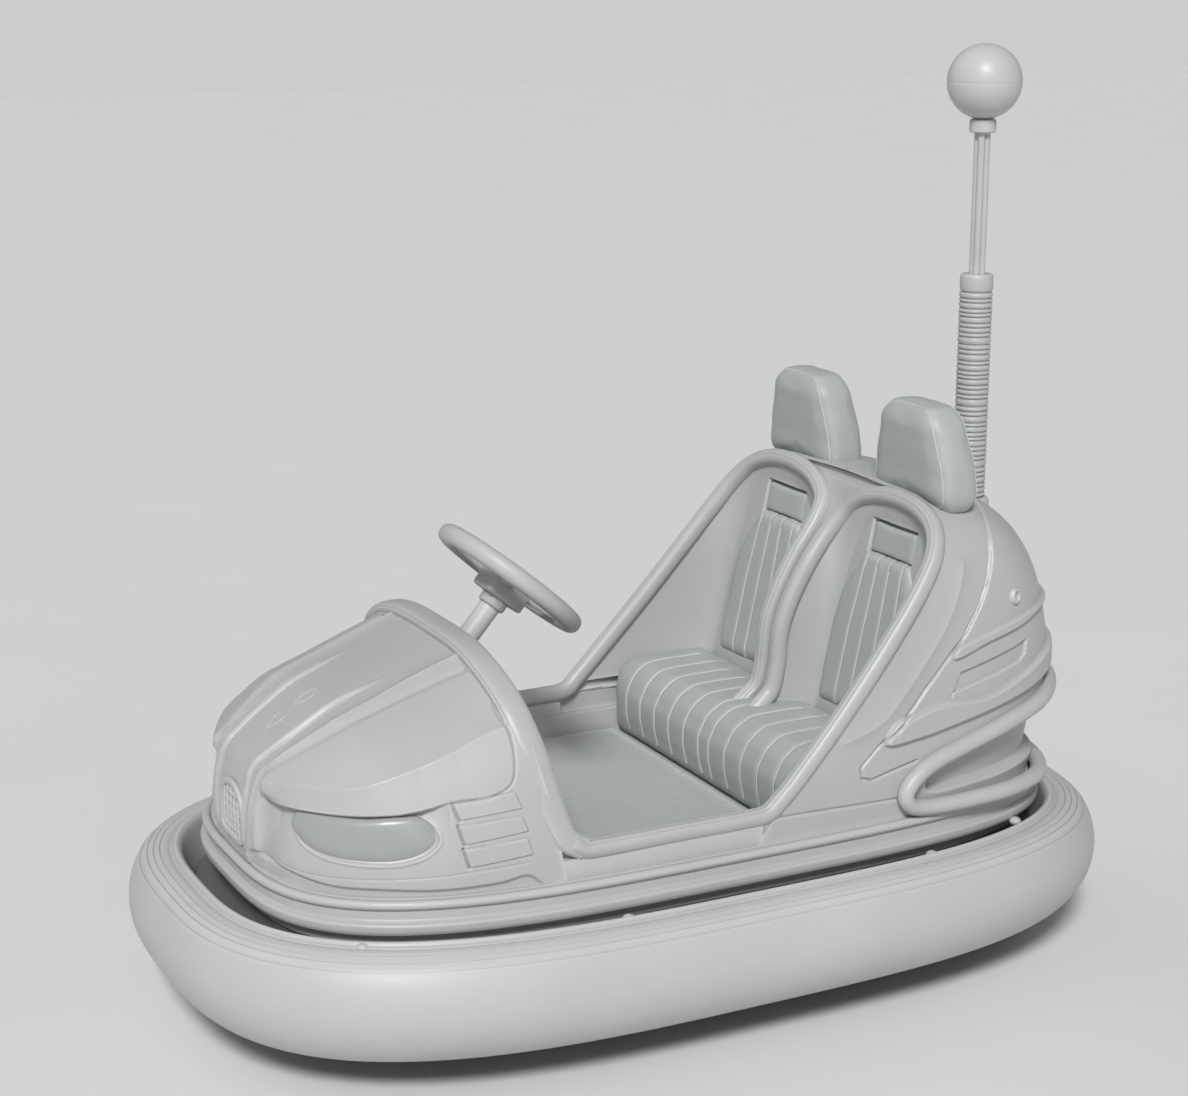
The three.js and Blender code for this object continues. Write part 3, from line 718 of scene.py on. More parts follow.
def finished(piece: bpy.types.Object, finish: Finish, nodes: Sequence[str] = (), body: str = "car",
             slot: str = "") -> bpy.types.Object:
    """Dresses a piece, hangs it on its body and hides the CAD nodes that it replaces.

    Args:
        piece: the piece.
        finish: its finish.
        nodes: the CAD nodes that it replaces.
        body: the body that it rides on.
        slot: not used.

    Returns:
        The piece.
    """
    piece.data.materials.clear()
    piece.data.materials.append(finish.material())
    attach(piece, body)
    slot or finish.slot
    if nodes:
        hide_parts(*nodes)
    LOG.info("%s: %d faces, %s", piece.name, len(piece.data.polygons), finish.name)
    return piece


# ------------------------------------------------------------------ the car's own lines
TUB = Oval(438.0, 806.0, 830.0, 3.3, 3.8)
RING = Oval(477.0, 846.0, 846.0, 3.0, 3.4)


def away_from_seat(points: Array) -> Array:
    """Points away from the sill's middle, and further back away from the left seat."""
    share = np.clip((points[:, 1:2] - 60.0) / 220.0, 0.0, 1.0)
    return points - np.array([0.0, 150.0, 480.0]) - share * np.array([202.0, 180.0, 160.0])


class View(Enum):
    """The flat view in which a line of relief is drawn."""

    SIDE = (1, 2)
    TOP = (0, 1)
    FRONT = (0, 2)
    WRAP = (3, 2)


class Cut(Enum):
    """How a line of relief shapes the surface."""

    GROOVE = "groove"
    RIDGE = "ridge"
    FIELD = "field"
    CREASE = "crease"
    STEP = "step"


@dataclass(frozen=True)
class Mark:
    """A line or a closed field pressed into, or raised from, a surface."""

    view: View
    cut: Cut
    points: Sequence[Point]
    depth: float
    width: float = 2.0
    closed: bool = False
    edge: float = 3.0
    taper: float = 0.0
    straight: bool = False
    near: tuple[float, float, float, float] = (-2000.0, 2000.0, -2000.0, 2000.0)

    def path(self) -> Array:
        """Gives the mark's smooth line.

        Returns:
            The points of the mark's line.
        """
        flat = self.flat(np.array(self.points, dtype=float))
        if len(flat) < 3 or self.straight:
            return flat
        rail = Rail([(a, b, 0.0) for a, b in flat], closed=self.closed)
        return rail.spaced(6.0)[:, :2]

    def flat(self, points: Array) -> Array:
        """Turns points into the mark's view.

        Args:
            points: points in millimetres.

        Returns:
            The flattened points.
        """
        if self.view is View.WRAP:
            return TUB.unrolled(points)
        folded = points.copy()
        folded[:, 0] = np.abs(folded[:, 0])
        return folded[:, list(self.view.value)]

    def distance(self, flat: Array) -> tuple[Array, Array, Array]:
        """Measures how far points are from the mark's line.

        Args:
            flat: points in the mark's view.

        Returns:
            The distance, the share along the line, and whether a point is inside a closed line,
            or on the left of an open one.
        """
        path = self.path()
        if self.closed:
            path = np.vstack([path, path[:1]])
        best = np.full(len(flat), 1e9)
        side = np.zeros(len(flat))
        where = np.zeros(len(flat))
        inside = np.zeros(len(flat), dtype=bool)
        for k in range(len(path) - 1):
            a, b = path[k], path[k + 1]
            step = b - a
            t = np.clip(((flat - a) @ step) / max(step @ step, 1e-9), 0.0, 1.0)
            d = np.linalg.norm(flat - a - t[:, None] * step, axis=1)
            closer = d < best
            best[closer] = d[closer]
            where[closer] = (k + t[closer]) / (len(path) - 1)
            turn = step[0] * (flat[:, 1] - a[1]) - step[1] * (flat[:, 0] - a[0])
            side[closer] = np.sign(turn[closer])
            if self.closed:
                crosses = (a[1] > flat[:, 1]) != (b[1] > flat[:, 1])
                edge = a[0] + (flat[:, 1] - a[1]) * step[0] / (step[1] if abs(step[1]) > 1e-9 else 1e-9)
                inside ^= crosses & (flat[:, 0] < edge)
        return best, where, inside if self.closed else side > 0

    def lift(self, points: Array) -> tuple[Array, Array]:
        """Gives how far each point moves outwards.

        Args:
            points: points on the surface.

        Returns:
            The lift, and whether a point is near enough to need fine faces.
        """
        low_y, high_y, low_z, high_z = self.near
        here = ((points[:, 1] > low_y) & (points[:, 1] < high_y)
                & (points[:, 2] > low_z) & (points[:, 2] < high_z))
        lift = np.zeros(len(points))
        fine = np.zeros(len(points), dtype=bool)
        if not here.any():
            return lift, fine
        d, share, inside = self.distance(self.flat(points[here]))
        fade = np.ones_like(d)
        if self.taper > 0:
            fade = np.clip(np.minimum(share, 1 - share) / self.taper, 0.0, 1.0) ** 0.7
        if self.cut is Cut.GROOVE:
            value = -self.depth * np.exp(-(d / (0.5 * self.width)) ** 2)
            reach = 1.6 * self.width
        elif self.cut is Cut.RIDGE:
            value = self.depth * np.clip(1 - (d / self.width) ** 2, 0.0, 1.0)
            reach = 1.3 * self.width
        elif self.cut is Cut.CREASE:
            value = self.depth * np.exp(-d / self.width)
            reach = 2.0 * self.width
        elif self.cut is Cut.STEP:
            value = np.where(inside, self.depth * np.clip(d / self.edge, 0, 1) * np.exp(-(d / self.width) ** 2), 0.0)
            reach = 1.2 * self.width
        else:
            signed = np.where(inside, d, -d)
            t = np.clip(0.5 + signed / self.edge, 0.0, 1.0)
            value = self.depth * t * t * (3 - 2 * t)
            reach = 1.5 * self.edge
        lift[here] = value * fade
        fine[here] = d < reach
        return lift, fine


def pressed(piece: bpy.types.Object, marks: Sequence[Mark], rounds: int = 1, degrees: float = 50.0) -> None:
    """Presses marks into a piece, with finer faces along them.

    Args:
        piece: the piece.
        marks: the marks.
        rounds: how many times the faces near a mark are halved.
        degrees: shading angle.
    """
    for _ in range(rounds):
        points = coordinates(piece)
        fine = np.zeros(len(points), dtype=bool)
        for mark in marks:
            fine |= mark.lift(points)[1]
        activate(piece)
        mesh = piece.data
        corners = np.empty(len(mesh.loops), dtype=np.int64)
        mesh.loops.foreach_get("vertex_index", corners)
        totals = np.empty(len(mesh.polygons), dtype=np.int64)
        mesh.polygons.foreach_get("loop_total", totals)
        owner = np.repeat(np.arange(len(totals)), totals)
        chosen = np.zeros(len(totals), dtype=bool)
        np.logical_or.at(chosen, owner, fine[corners])
        bpy.ops.object.mode_set(mode="EDIT")
        bpy.ops.mesh.select_all(action="DESELECT")
        bpy.ops.mesh.select_mode(type="FACE")
        bpy.ops.object.mode_set(mode="OBJECT")
        mesh.polygons.foreach_set("select", chosen)
        bpy.ops.object.mode_set(mode="EDIT")
        bpy.ops.mesh.subdivide(number_cuts=1, quadcorner="INNERVERT")
        bpy.ops.mesh.select_mode(type="VERT")
        bpy.ops.object.mode_set(mode="OBJECT")
    points, outward = coordinates(piece), normals(piece)
    lift = np.zeros(len(points))
    for mark in marks:
        lift += mark.lift(points)[0]
    set_coordinates(piece, points + outward * lift[:, None])
    smooth(piece, degrees)


# ------------------------------------------------------------------ bumper ring
@dataclass
class Bumper:
    """The fat rubber ring with its inner rail and bolts."""

    radius: float = 128.0
    height: float = 198.0
    bolt_radius: float = 12.0
    bolts: tuple[tuple[float, float], ...] = ((399.0, -713.0), (497.0, -246.0), (489.0, 410.0), (414.0, 661.0))

    def section(self) -> Array:
        """Gives the ring's section as [outward offset, height].

        Returns:
            The section's points.
        """
        turns = np.radians(np.linspace(-84.0, 33.0, 44))
        arc = [(self.radius * math.cos(a), self.height + self.radius * math.sin(a)) for a in turns]
        shoulder = [(106.0, 269.2), (104.6, 271.0), (103.6, 270.2), (102.4, 273.0), (97.0, 277.6), (91.0, 281.2),
                    (90.2, 280.0), (88.8, 280.4), (88.0, 282.6), (79.0, 285.8), (78.2, 284.6), (76.8, 285.0),
                    (76.0, 286.8),
                    (67.0, 288.8), (66.2, 287.4), (64.8, 287.6), (64.0, 289.4), (57.0, 290.3), (51.0, 290.6),
                    (48.6, 289.0), (47.4, 289.0), (45.4, 291.2),
                    (42.0, 291.6), (40.0, 293.6), (38.6, 296.8), (36.0, 298.0), (33.0, 298.0), (30.6, 296.4),
                    (27.0, 293.6), (23.0, 287.0), (20.0, 277.0), (14.0, 262.0), (6.0, 240.0), (0.6, 228.0),
                    (-0.5, 222.0), (-0.5, 160.0), (-0.5, 102.0), (3.0, 92.0), (10.0, 82.0)]
        return np.array(arc + shoulder)

    def build(self) -> None:
        """Makes the ring and its bolts."""
        ring = ringed("bumper_ring", RING, self.section(), 420)
        finished(ring, BUMPER_SKIN, ("bumper_tube",))
        heads = []
        for x, y in self.bolts:
            for side in (1.0, -1.0):
                heads.append(self.bolt(side * x, y))
        finished(joined("bumper_bolts", heads), COLUMN_PAINT)

    def bolt(self, x: float, y: float) -> bpy.types.Object:
        """Makes a domed bolt on the ring's shoulder.

        Args:
            x: its place across the car.
            y: its place along the car.

        Returns:
            The piece.
        """
        deselect_all()
        bpy.ops.mesh.primitive_uv_sphere_add(segments=20, ring_count=12, radius=self.bolt_radius * MM,
                                             location=(x * MM, y * MM, 289.0 * MM), scale=(1, 1, 0.72))
        piece = bpy.context.active_object
        place_here(piece)
        smooth(piece, 60.0)
        return piece


# ------------------------------------------------------------------ lower body
@dataclass
class Tub:
    """The stepped sill ring round the car and its round bead."""

    bead_offset: float = 10.6
    bead_height: float = 342.8
    bead_radius: float = 8.6
    apron_low: float = 196.0
    strip_top: float = 227.0

    def section(self) -> Array:
        """Gives the ring's section as [outward offset, height]."""
        return rounded([(21.0, 291.0, 0), (23.4, 296.0, 3), (23.4, 309.0, 4), (15.0, 313.0, 2), (11.6, 317.0, 1.5),
                        (10.6, 333.4, 1.5), (2.0, 335.0, 1.5), (2.0, 352.0, 2), (-22.0, 352.0, 2),
                        (-22.0, 290.6, 2)], 5)

    def build(self) -> None:
        """Makes the sill ring and the bead."""
        ring = ringed("sill_ring", TUB, self.section(), 400)
        finished(ring, SHELL, ("lower_body",))
        bead = ringed("sill_bead", TUB,
                      circle(self.bead_radius, 20) + np.array([self.bead_offset, self.bead_height]), 400)
        finished(bead, SHELL, ("body_bead",))
        apron = rounded([(-3.0, 290.0, 0), (-5.0, 262.0, 3), (-13.0, 258.0, 3), (-15.0, self.apron_low, 2),
                         (-19.0, self.apron_low, 2), (-18.0, 290.0, 0)], 4)
        finished(ringed("sill_apron", TUB, apron, 300), SHELL)
        # The gap strip closes the gap inside the bumper ring; its near-black tone is painted shade standing for the
        # shadow in that gap.
        strip = rounded([(-58.0, self.strip_top - 4.0, 0), (-0.8, self.strip_top - 4.0, 0), (-0.8, self.strip_top, 1),
                         (-58.0, self.strip_top, 1)], 3)
        finished(ringed("gap_strip_painted_shade", RING, strip, 300), CHASSIS_PAINT_AND_GAP_SHADE)


# ------------------------------------------------------------------ hood
@dataclass
class Hood:
    """The nose cover with its lamps, louvres and grille."""

    stations: tuple[tuple[float, float, float], ...] = (
        (-800.0, 500.0, 2.7), (-796.0, 519.0, 2.8), (-788.0, 534.0, 2.9), (-770.0, 549.0, 3.0),
        (-745.0, 567.0, 3.1), (-718.0, 585.0, 3.2), (-688.0, 604.0, 3.3), (-658.0, 622.0, 3.3),
        (-616.0, 640.0, 3.1), (-575.0, 657.0, 2.9), (-507.0, 684.0, 2.8), (-439.0, 709.0, 2.8),
        (-400.0, 722.0, 2.8), (-340.0, 732.0, 2.8),
    )
    base: float = 352.3
    nose: float = -800.0
    lens_outline: tuple[Point, ...] = (
        (214, -775, 462), (220, -765, 484), (245, -751, 492), (290, -715, 491), (325, -678, 490),
        (357, -617, 494),
        (370, -584, 491), (380, -566, 475), (386, -559, 450), (384, -580, 430), (368, -623, 415),
        (334, -684, 413), (284, -739, 420), (240, -766, 437),
    )
    face: float = 0.10

    def height(self, y: Array) -> Array:
        """Gives the crest's rise above the base."""
        table = np.array(self.stations)
        return smooth_curve(y, table[:, 0], table[:, 1]) - self.base

    def squareness(self, y: Array) -> Array:
        """Gives the arch's power."""
        table = np.array(self.stations)
        return np.interp(y, table[:, 0], table[:, 2])

    def half(self, y: Array) -> Array:
        """Gives the half width at the base."""
        return np.maximum(60.0, TUB.half_at(y))

    def arch(self, u: Array, y: Array) -> tuple[Array, Array]:
        """Reads the arch evenly along its length.

        Args:
            u: share across, from the left side to the right.
            y: station of each point.

        Returns:
            The place across and the height.
        """
        rows = np.linspace(self.nose, -340.0, 93)
        shares = np.linspace(0.0, 1.0, 161)
        a = np.linspace(0.0, np.pi, 1201)
        xs, zs = np.empty((93, 161)), np.empty((93, 161))
        for k, row in enumerate(rows):
            at = np.array([row])
            e = 2 / self.squareness(at)[0]
            x = self.half(at)[0] * power(np.cos(a), e)
            z = self.base + self.height(at)[0] * np.abs(np.sin(a)) ** e
            run = np.concatenate([[0.0], np.cumsum(np.hypot(np.diff(x), np.diff(z)))])
            xs[k] = np.interp(shares * run[-1], run, x)
            zs[k] = np.interp(shares * run[-1], run, z)
        i = np.clip((y - rows[0]) / (rows[1] - rows[0]), 0, 91.999)
        j = np.clip(u * 160, 0, 159.999)
        i0, j0 = i.astype(int), j.astype(int)
        fi, fj = i - i0, j - j0

        def read(table: Array) -> Array:
            """Reads a table between its rows and columns."""
            return ((1 - fi) * ((1 - fj) * table[i0, j0] + fj * table[i0, j0 + 1])
                    + fi * ((1 - fj) * table[i0 + 1, j0] + fj * table[i0 + 1, j0 + 1]))

        return read(xs), read(zs)

    def place(self, u: Array, v: Array) -> Array:
        """Wraps the grid over the nose and back to the cowl.

        Args:
            u: share across.
            v: share along.

        Returns:
            The points.
        """
        share = np.clip((v - self.face) / (1 - self.face), 0.0, 1.0)
        y = self.nose + share**1.15 * (-399.0 - self.nose)
        for _ in range(4):
            x, z = self.arch(u, y)
            y = self.nose + share**1.15 * (-399.0 + 0.175 * (720.0 - z) - self.nose)
        x, z = self.arch(u, y)
        front = v < self.face
        s = np.clip(v / self.face, 0.0, 1.0)
        x = np.where(front, x * s, x)
        z = np.where(front, self.base + (z - self.base) * s, z)
        y = np.where(front, self.nose - 8.0 * (1 - s**4) ** 0.5, y)
        return np.column_stack([x, y, z])

    def on_side(self, run: Array, z: Array, lift: Array | float = 0.0) -> Array:
        """Finds points on the hood by the run round its foot and their height.

        Args:
            run: run from the nose along the foot's outline.
            z: height.
            lift: distance outwards.

        Returns:
            The points.
        """
        table, _ = TUB.table(4000)
        keep = table[:, 0] >= 0
        half = table[keep]
        order = np.argsort(np.arctan2(half[:, 1], half[:, 0]))
        half = half[order]
        whole = np.concatenate([[0.0], np.cumsum(np.linalg.norm(np.diff(half, axis=0), axis=1))])
        foot = np.stack([np.interp(run, whole, half[:, 0]), np.interp(run, whole, half[:, 1])], axis=1)
        low, high = np.full(len(run), 0.5), np.full(len(run), 1.0)
        for _ in range(26):
            middle = 0.5 * (low + high)
            x, y = foot[:, 0] * middle, foot[:, 1] * middle
            inside = y > self.nose
            yy = np.clip(y, self.nose, -340.0)
            p = self.squareness(yy)
            reach = np.clip(1 - np.abs(x / self.half(yy)) ** p, 0.0, 1.0) ** (1 / p)
            above = inside & (self.base + self.height(yy) * reach > z)
            low, high = np.where(above, middle, low), np.where(above, high, middle)
        out = foot / np.array([TUB.half_width**2, TUB.front**2])
        out /= np.linalg.norm(out, axis=1, keepdims=True)
        flat = foot * (0.5 * (low + high))[:, None] + out * np.reshape(lift, (-1, 1))
        return np.column_stack([flat, z])

    def marks(self) -> list[Mark]:
        """Lists the ridges, panel lines, recesses and louvres.

        Returns:
            The marks.
        """
        ridge = ((158, -398, 712), (156, -431, 702), (154, -528, 667), (157, -601, 638), (149, -683, 601),
                 (127, -752, 555), (109, -788, 525), (101, -798, 495), (97, -800, 438), (88, -802, 366))
        fold = ((203, -398, 704), (199, -434, 693), (187, -542, 656), (178, -657, 612), (153, -723, 572),
                (122, -777, 531), (107, -794, 505))
        rib = ((100, -545, 665), (96, -568, 657), (91, -600, 646), (90, -660, 619), (83, -736, 572),
               (74, -786, 530), (76, -798, 500), (78, -801, 438), (71, -802, 366))
        rib_side = ((101, -584, 651), (106, -640, 628), (95, -730, 570), (79, -780, 530))
        brow = ((352, -398, 634), (343, -429, 618), (338, -531, 581), (328, -603, 560), (312, -655, 543),
                (278, -700, 533),
                (214, -747, 527), (121, -789, 512))
        lip = ((377, -534, 518), (360, -599, 504), (333, -663, 499), (286, -719, 496),
               (234, -755, 493), (176, -783, 490), (120, -799, 492))
        corner = ((116, -800, 374), (118, -800, 430), (118, -799, 500))
        panel = ((250, -405, 690), (301, -415, 656), (355, -409, 612), (383, -413, 569), (394, -424, 540),
                 (385, -450, 522), (378, -520, 517), (372, -560, 511))
        well = tuple(self.lens_outline)
        under = ((96, -800, 377), (203, -785, 377), (299, -727, 367), (353, -655, 366), (392, -559, 362),
                 (416, -454, 366), (424, -403, 372), (430, -380, 340), (380, -600, 330), (200, -790, 330),
                 (96, -800, 335))
        ledge = ((106, -800, 388), (203, -782, 384), (249, -764, 383), (335, -685, 385), (381, -591, 387),
                 (409, -489, 393), (422, -402, 399))
        louvres = (((378, -531, 514), (400, -422, 527), (410, -411, 497), (390, -523, 486)),
                   ((391, -526, 477), (412, -414, 485), (419, -404, 456), (399, -518, 443)),
                   ((400, -521, 435), (420, -407, 444), (422, -396, 413), (404, -511, 401)))
        marks = [
            Mark(View.FRONT, Cut.CREASE, ridge, 8.0, 15.0),
            Mark(View.FRONT, Cut.GROOVE, fold, 4.0, 18.0),
            Mark(View.FRONT, Cut.RIDGE, rib, 7.5, 9.0, taper=0.10),
            Mark(View.FRONT, Cut.GROOVE, rib_side, 3.0, 7.0, taper=0.3),
            Mark(View.FRONT, Cut.CREASE, brow, 11.5, 30.0, taper=0.05),
            Mark(View.WRAP, Cut.GROOVE, panel, 3.6, 4.0, taper=0.08),
            Mark(View.WRAP, Cut.STEP, lip, -21.0, 62.0, edge=4.0, taper=0.12),
            Mark(View.WRAP, Cut.STEP, corner[::-1], -13.0, 58.0, edge=11.0, taper=0.12),
            Mark(View.WRAP, Cut.FIELD, well, -5.0, closed=True, edge=4.0),
            Mark(View.WRAP, Cut.RIDGE, (*well, well[0]), 2.6, 7.0),
            Mark(View.WRAP, Cut.FIELD, under, -8.0, closed=True, edge=10.0),
            Mark(View.WRAP, Cut.GROOVE, ledge, 1.2, 3.0),
            Mark(View.TOP, Cut.FIELD, ((0, -636, 0), (10, -645, 0), (14, -656, 0), (9, -670, 0), (0, -684, 0),
                                       (-9, -670, 0),
                                       (-14, -656, 0), (-10, -645, 0)), 4.5, closed=True, edge=5.0),
            Mark(View.TOP, Cut.FIELD, ((0, -699, 0), (11, -706, 0), (15, -715, 0), (9, -728, 0), (0, -742, 0),
                                       (-9, -728, 0),
                                       (-15, -715, 0), (-11, -706, 0)), 4.0, closed=True, edge=4.0),
        ]
        for plate in louvres:
            front = (plate[0], plate[3])
            marks.append(Mark(View.WRAP, Cut.FIELD, plate, 3.4, closed=True, edge=3.0, straight=True))
            marks.append(Mark(View.WRAP, Cut.GROOVE, front, 6.2, 5.6))
            marks.append(Mark(View.WRAP, Cut.GROOVE, (plate[0], plate[1], plate[2], plate[3]),
                              1.6, 2.2, straight=True))
        return marks

    def build(self) -> None:
        """Makes the cover and everything on it."""
        cover = woven("hood_cover", 190, 84, self.place, merge=0.02)
        pressed(cover, self.marks(), rounds=2)
        apply_modifier(cover, "SOLIDIFY", thickness=5 * MM, offset=-1.0)
        smooth(cover, 50.0)
        finished(cover, SHELL, ("front_hood",))
        lamp = self.lens()
        finished(lamp, LENS, ("headlight_left",))
        finished(mirrored_copy(lamp, "lens_right"), LENS, ("headlight_right",))
        finished(self.grille(), GRILLE_METAL, ("grille",))

    def lens(self) -> bpy.types.Object:
        """Makes the long domed lens on the left side.

        Returns:
            The piece.
        """
        flat = TUB.unrolled(np.array(self.lens_outline, dtype=float))
        rim = Rail([(a, b, 0.0) for a, b in flat], closed=True)
        middle = flat.mean(axis=0)

        def place(u: Array, v: Array) -> Array:
            """Domes the lens from its middle to its rolled edge.

            Args:
                u: share across.
                v: share along.

            Returns:
                The points.
            """
            edge = rim.at(np.where(v >= 1.0, 0.0, v))[0][:, :2]
            r = np.minimum(u / 0.86, 1.0)
            at = middle + (edge - middle) * (r * 0.985)[:, None]
            tuck = np.clip((u - 0.86) / 0.14, 0.0, 1.0)
            lift = -11.5 + 9.0 * (1 - r**6) ** 0.7 - 10.0 * tuck
            return self.on_side(at[:, 0], at[:, 1], lift)

        return woven("lens_left", 30, 110, place, fill=True, merge=0.05)

    def grille(self) -> bpy.types.Object:
        """Makes the arched grille of crossed bars in a rounded frame.

        Returns:
            The piece.
        """
        low, spring, half = 376.0, 436.0, 57.0
        y = self.nose - 9.5
        arch = [(-half, y, low + 8), (-half, y, spring)]
        arch += [(half * math.cos(a), y, spring + 42.0 * math.sin(a)) for a in np.radians((150, 120, 90, 60, 30))]
        arch += [(half, y, spring), (half, y, low + 8), (half - 10, y, low), (0, y, low - 2), (-half + 10, y, low)]
        frame_bar = rounded([(-6.5, -4, 2.5), (-6.5, 4, 3.5), (6.5, 4, 3.5), (6.5, -4, 2.5)], 4)
        pieces = [swept("grille_frame", Rail(arch, closed=True), frame_bar,
                        lambda p: p - np.array([0.0, y, 425.0]), step=4.0)]
        for x in (-38.0, -19.0, 0.0, 19.0, 38.0):
            top = spring + 40.0 * math.sqrt(1 - (x / half) ** 2)
            bar = Rail([(x, y + 1, low), (x, y - 1.5, (low + top) / 2), (x, y + 1, top)])
            pieces.append(swept("bar", bar, circle(3.4, 10), lambda p: np.tile([1.0, 0, 0], (len(p), 1)), step=6.0))
        for z in np.arange(low + 14, spring + 34, 17.0):
            wide = half if z < spring else half * math.sqrt(max(0.05, 1 - ((z - spring) / 42.0) ** 2))
            bar = Rail([(-wide, y + 2, z), (0, y - 1.0, z), (wide, y + 2, z)])
            pieces.append(swept("bar", bar, circle(3.0, 10), lambda p: np.tile([0.0, 0, 1.0], (len(p), 1)), step=6.0))
        return joined("grille_mesh", pieces)


# ------------------------------------------------------------------ trim rolls
@dataclass
class Trim:
    """The padded roll round the cockpit: the cowl hoop and two side rolls."""

    line: tuple[Point, ...] = (
        (30, 286, 460), (29, 304, 476), (27, 326, 497), (26, 339, 540), (26, 352, 640), (27, 402, 746),
        (30, 460, 826),
        (46, 488, 866), (88, 500, 896), (146, 506, 911), (210, 508, 915), (280, 505, 908), (340, 494, 884),
        (376, 470, 844), (394, 429, 788), (407, 359, 702), (417, 271, 600), (424, 182, 504), (426, 114, 434),
        (424, 80, 406), (423, 30, 402), (423, -100, 402), (423, -250, 402), (423, -300, 406),
    )
    over: tuple[Point, ...] = (
        (423, -300, 406), (420, -334, 430), (409, -350, 470), (393, -362, 521), (374, -372, 569),
        (350, -382, 613),
        (325, -389, 645), (292, -394, 670), (250, -398, 691), (200, -400, 707), (130, -399, 717),
        (0, -399, 720),
    )

    def roll(self, away: float, across: float, exponent: float, grooves: bool) -> Array:
        """Gives the roll's section.

        Args:
            away: half depth.
            across: half width.
            exponent: squareness.
            grooves: whether two fine lines run along its outer side.

        Returns:
            The [away, across] points.
        """
        a = np.linspace(0, 2 * np.pi, 56, endpoint=False)
        points = np.stack([away * power(np.cos(a), 2 / exponent), across * power(np.sin(a), 2 / exponent)], axis=1)
        if grooves:
            for at in (0.34, 0.52):
                dip = np.exp(-((a / np.pi - at) / 0.024) ** 2) + np.exp(-((2 - a / np.pi - at) / 0.024) ** 2)
                points *= (1 - 0.11 * dip)[:, None]
        return points

    def build(self) -> None:
        """Makes the three rolls."""
        side_rail = Rail([*self.line, (422, -322, 420)])
        side = swept("side_roll_left", side_rail, self.roll(17.5, 18.0, 2.2, True), away_from_seat, step=7.0)
        finished(side, SHELL, ("side_trim_left",))
        finished(mirrored_copy(side, "side_roll_right"), SHELL, ("side_trim_right",))
        mirrored = [(-x, y, z) for x, y, z in self.over[:-1]][::-1]
        hoop_rail = Rail([*self.over, *mirrored])
        hoop = swept("cowl_roll", hoop_rail, self.roll(17.0, 27.0, 2.9, True),
                     lambda p: p - np.array([0.0, -380.0, 380.0]), step=7.0,
                     grow=lambda s: 1.0 - 0.22 * np.exp(-(np.minimum(s, 1 - s) / 0.045) ** 2))
        finished(hoop, SHELL, ("cowl_hoop",))


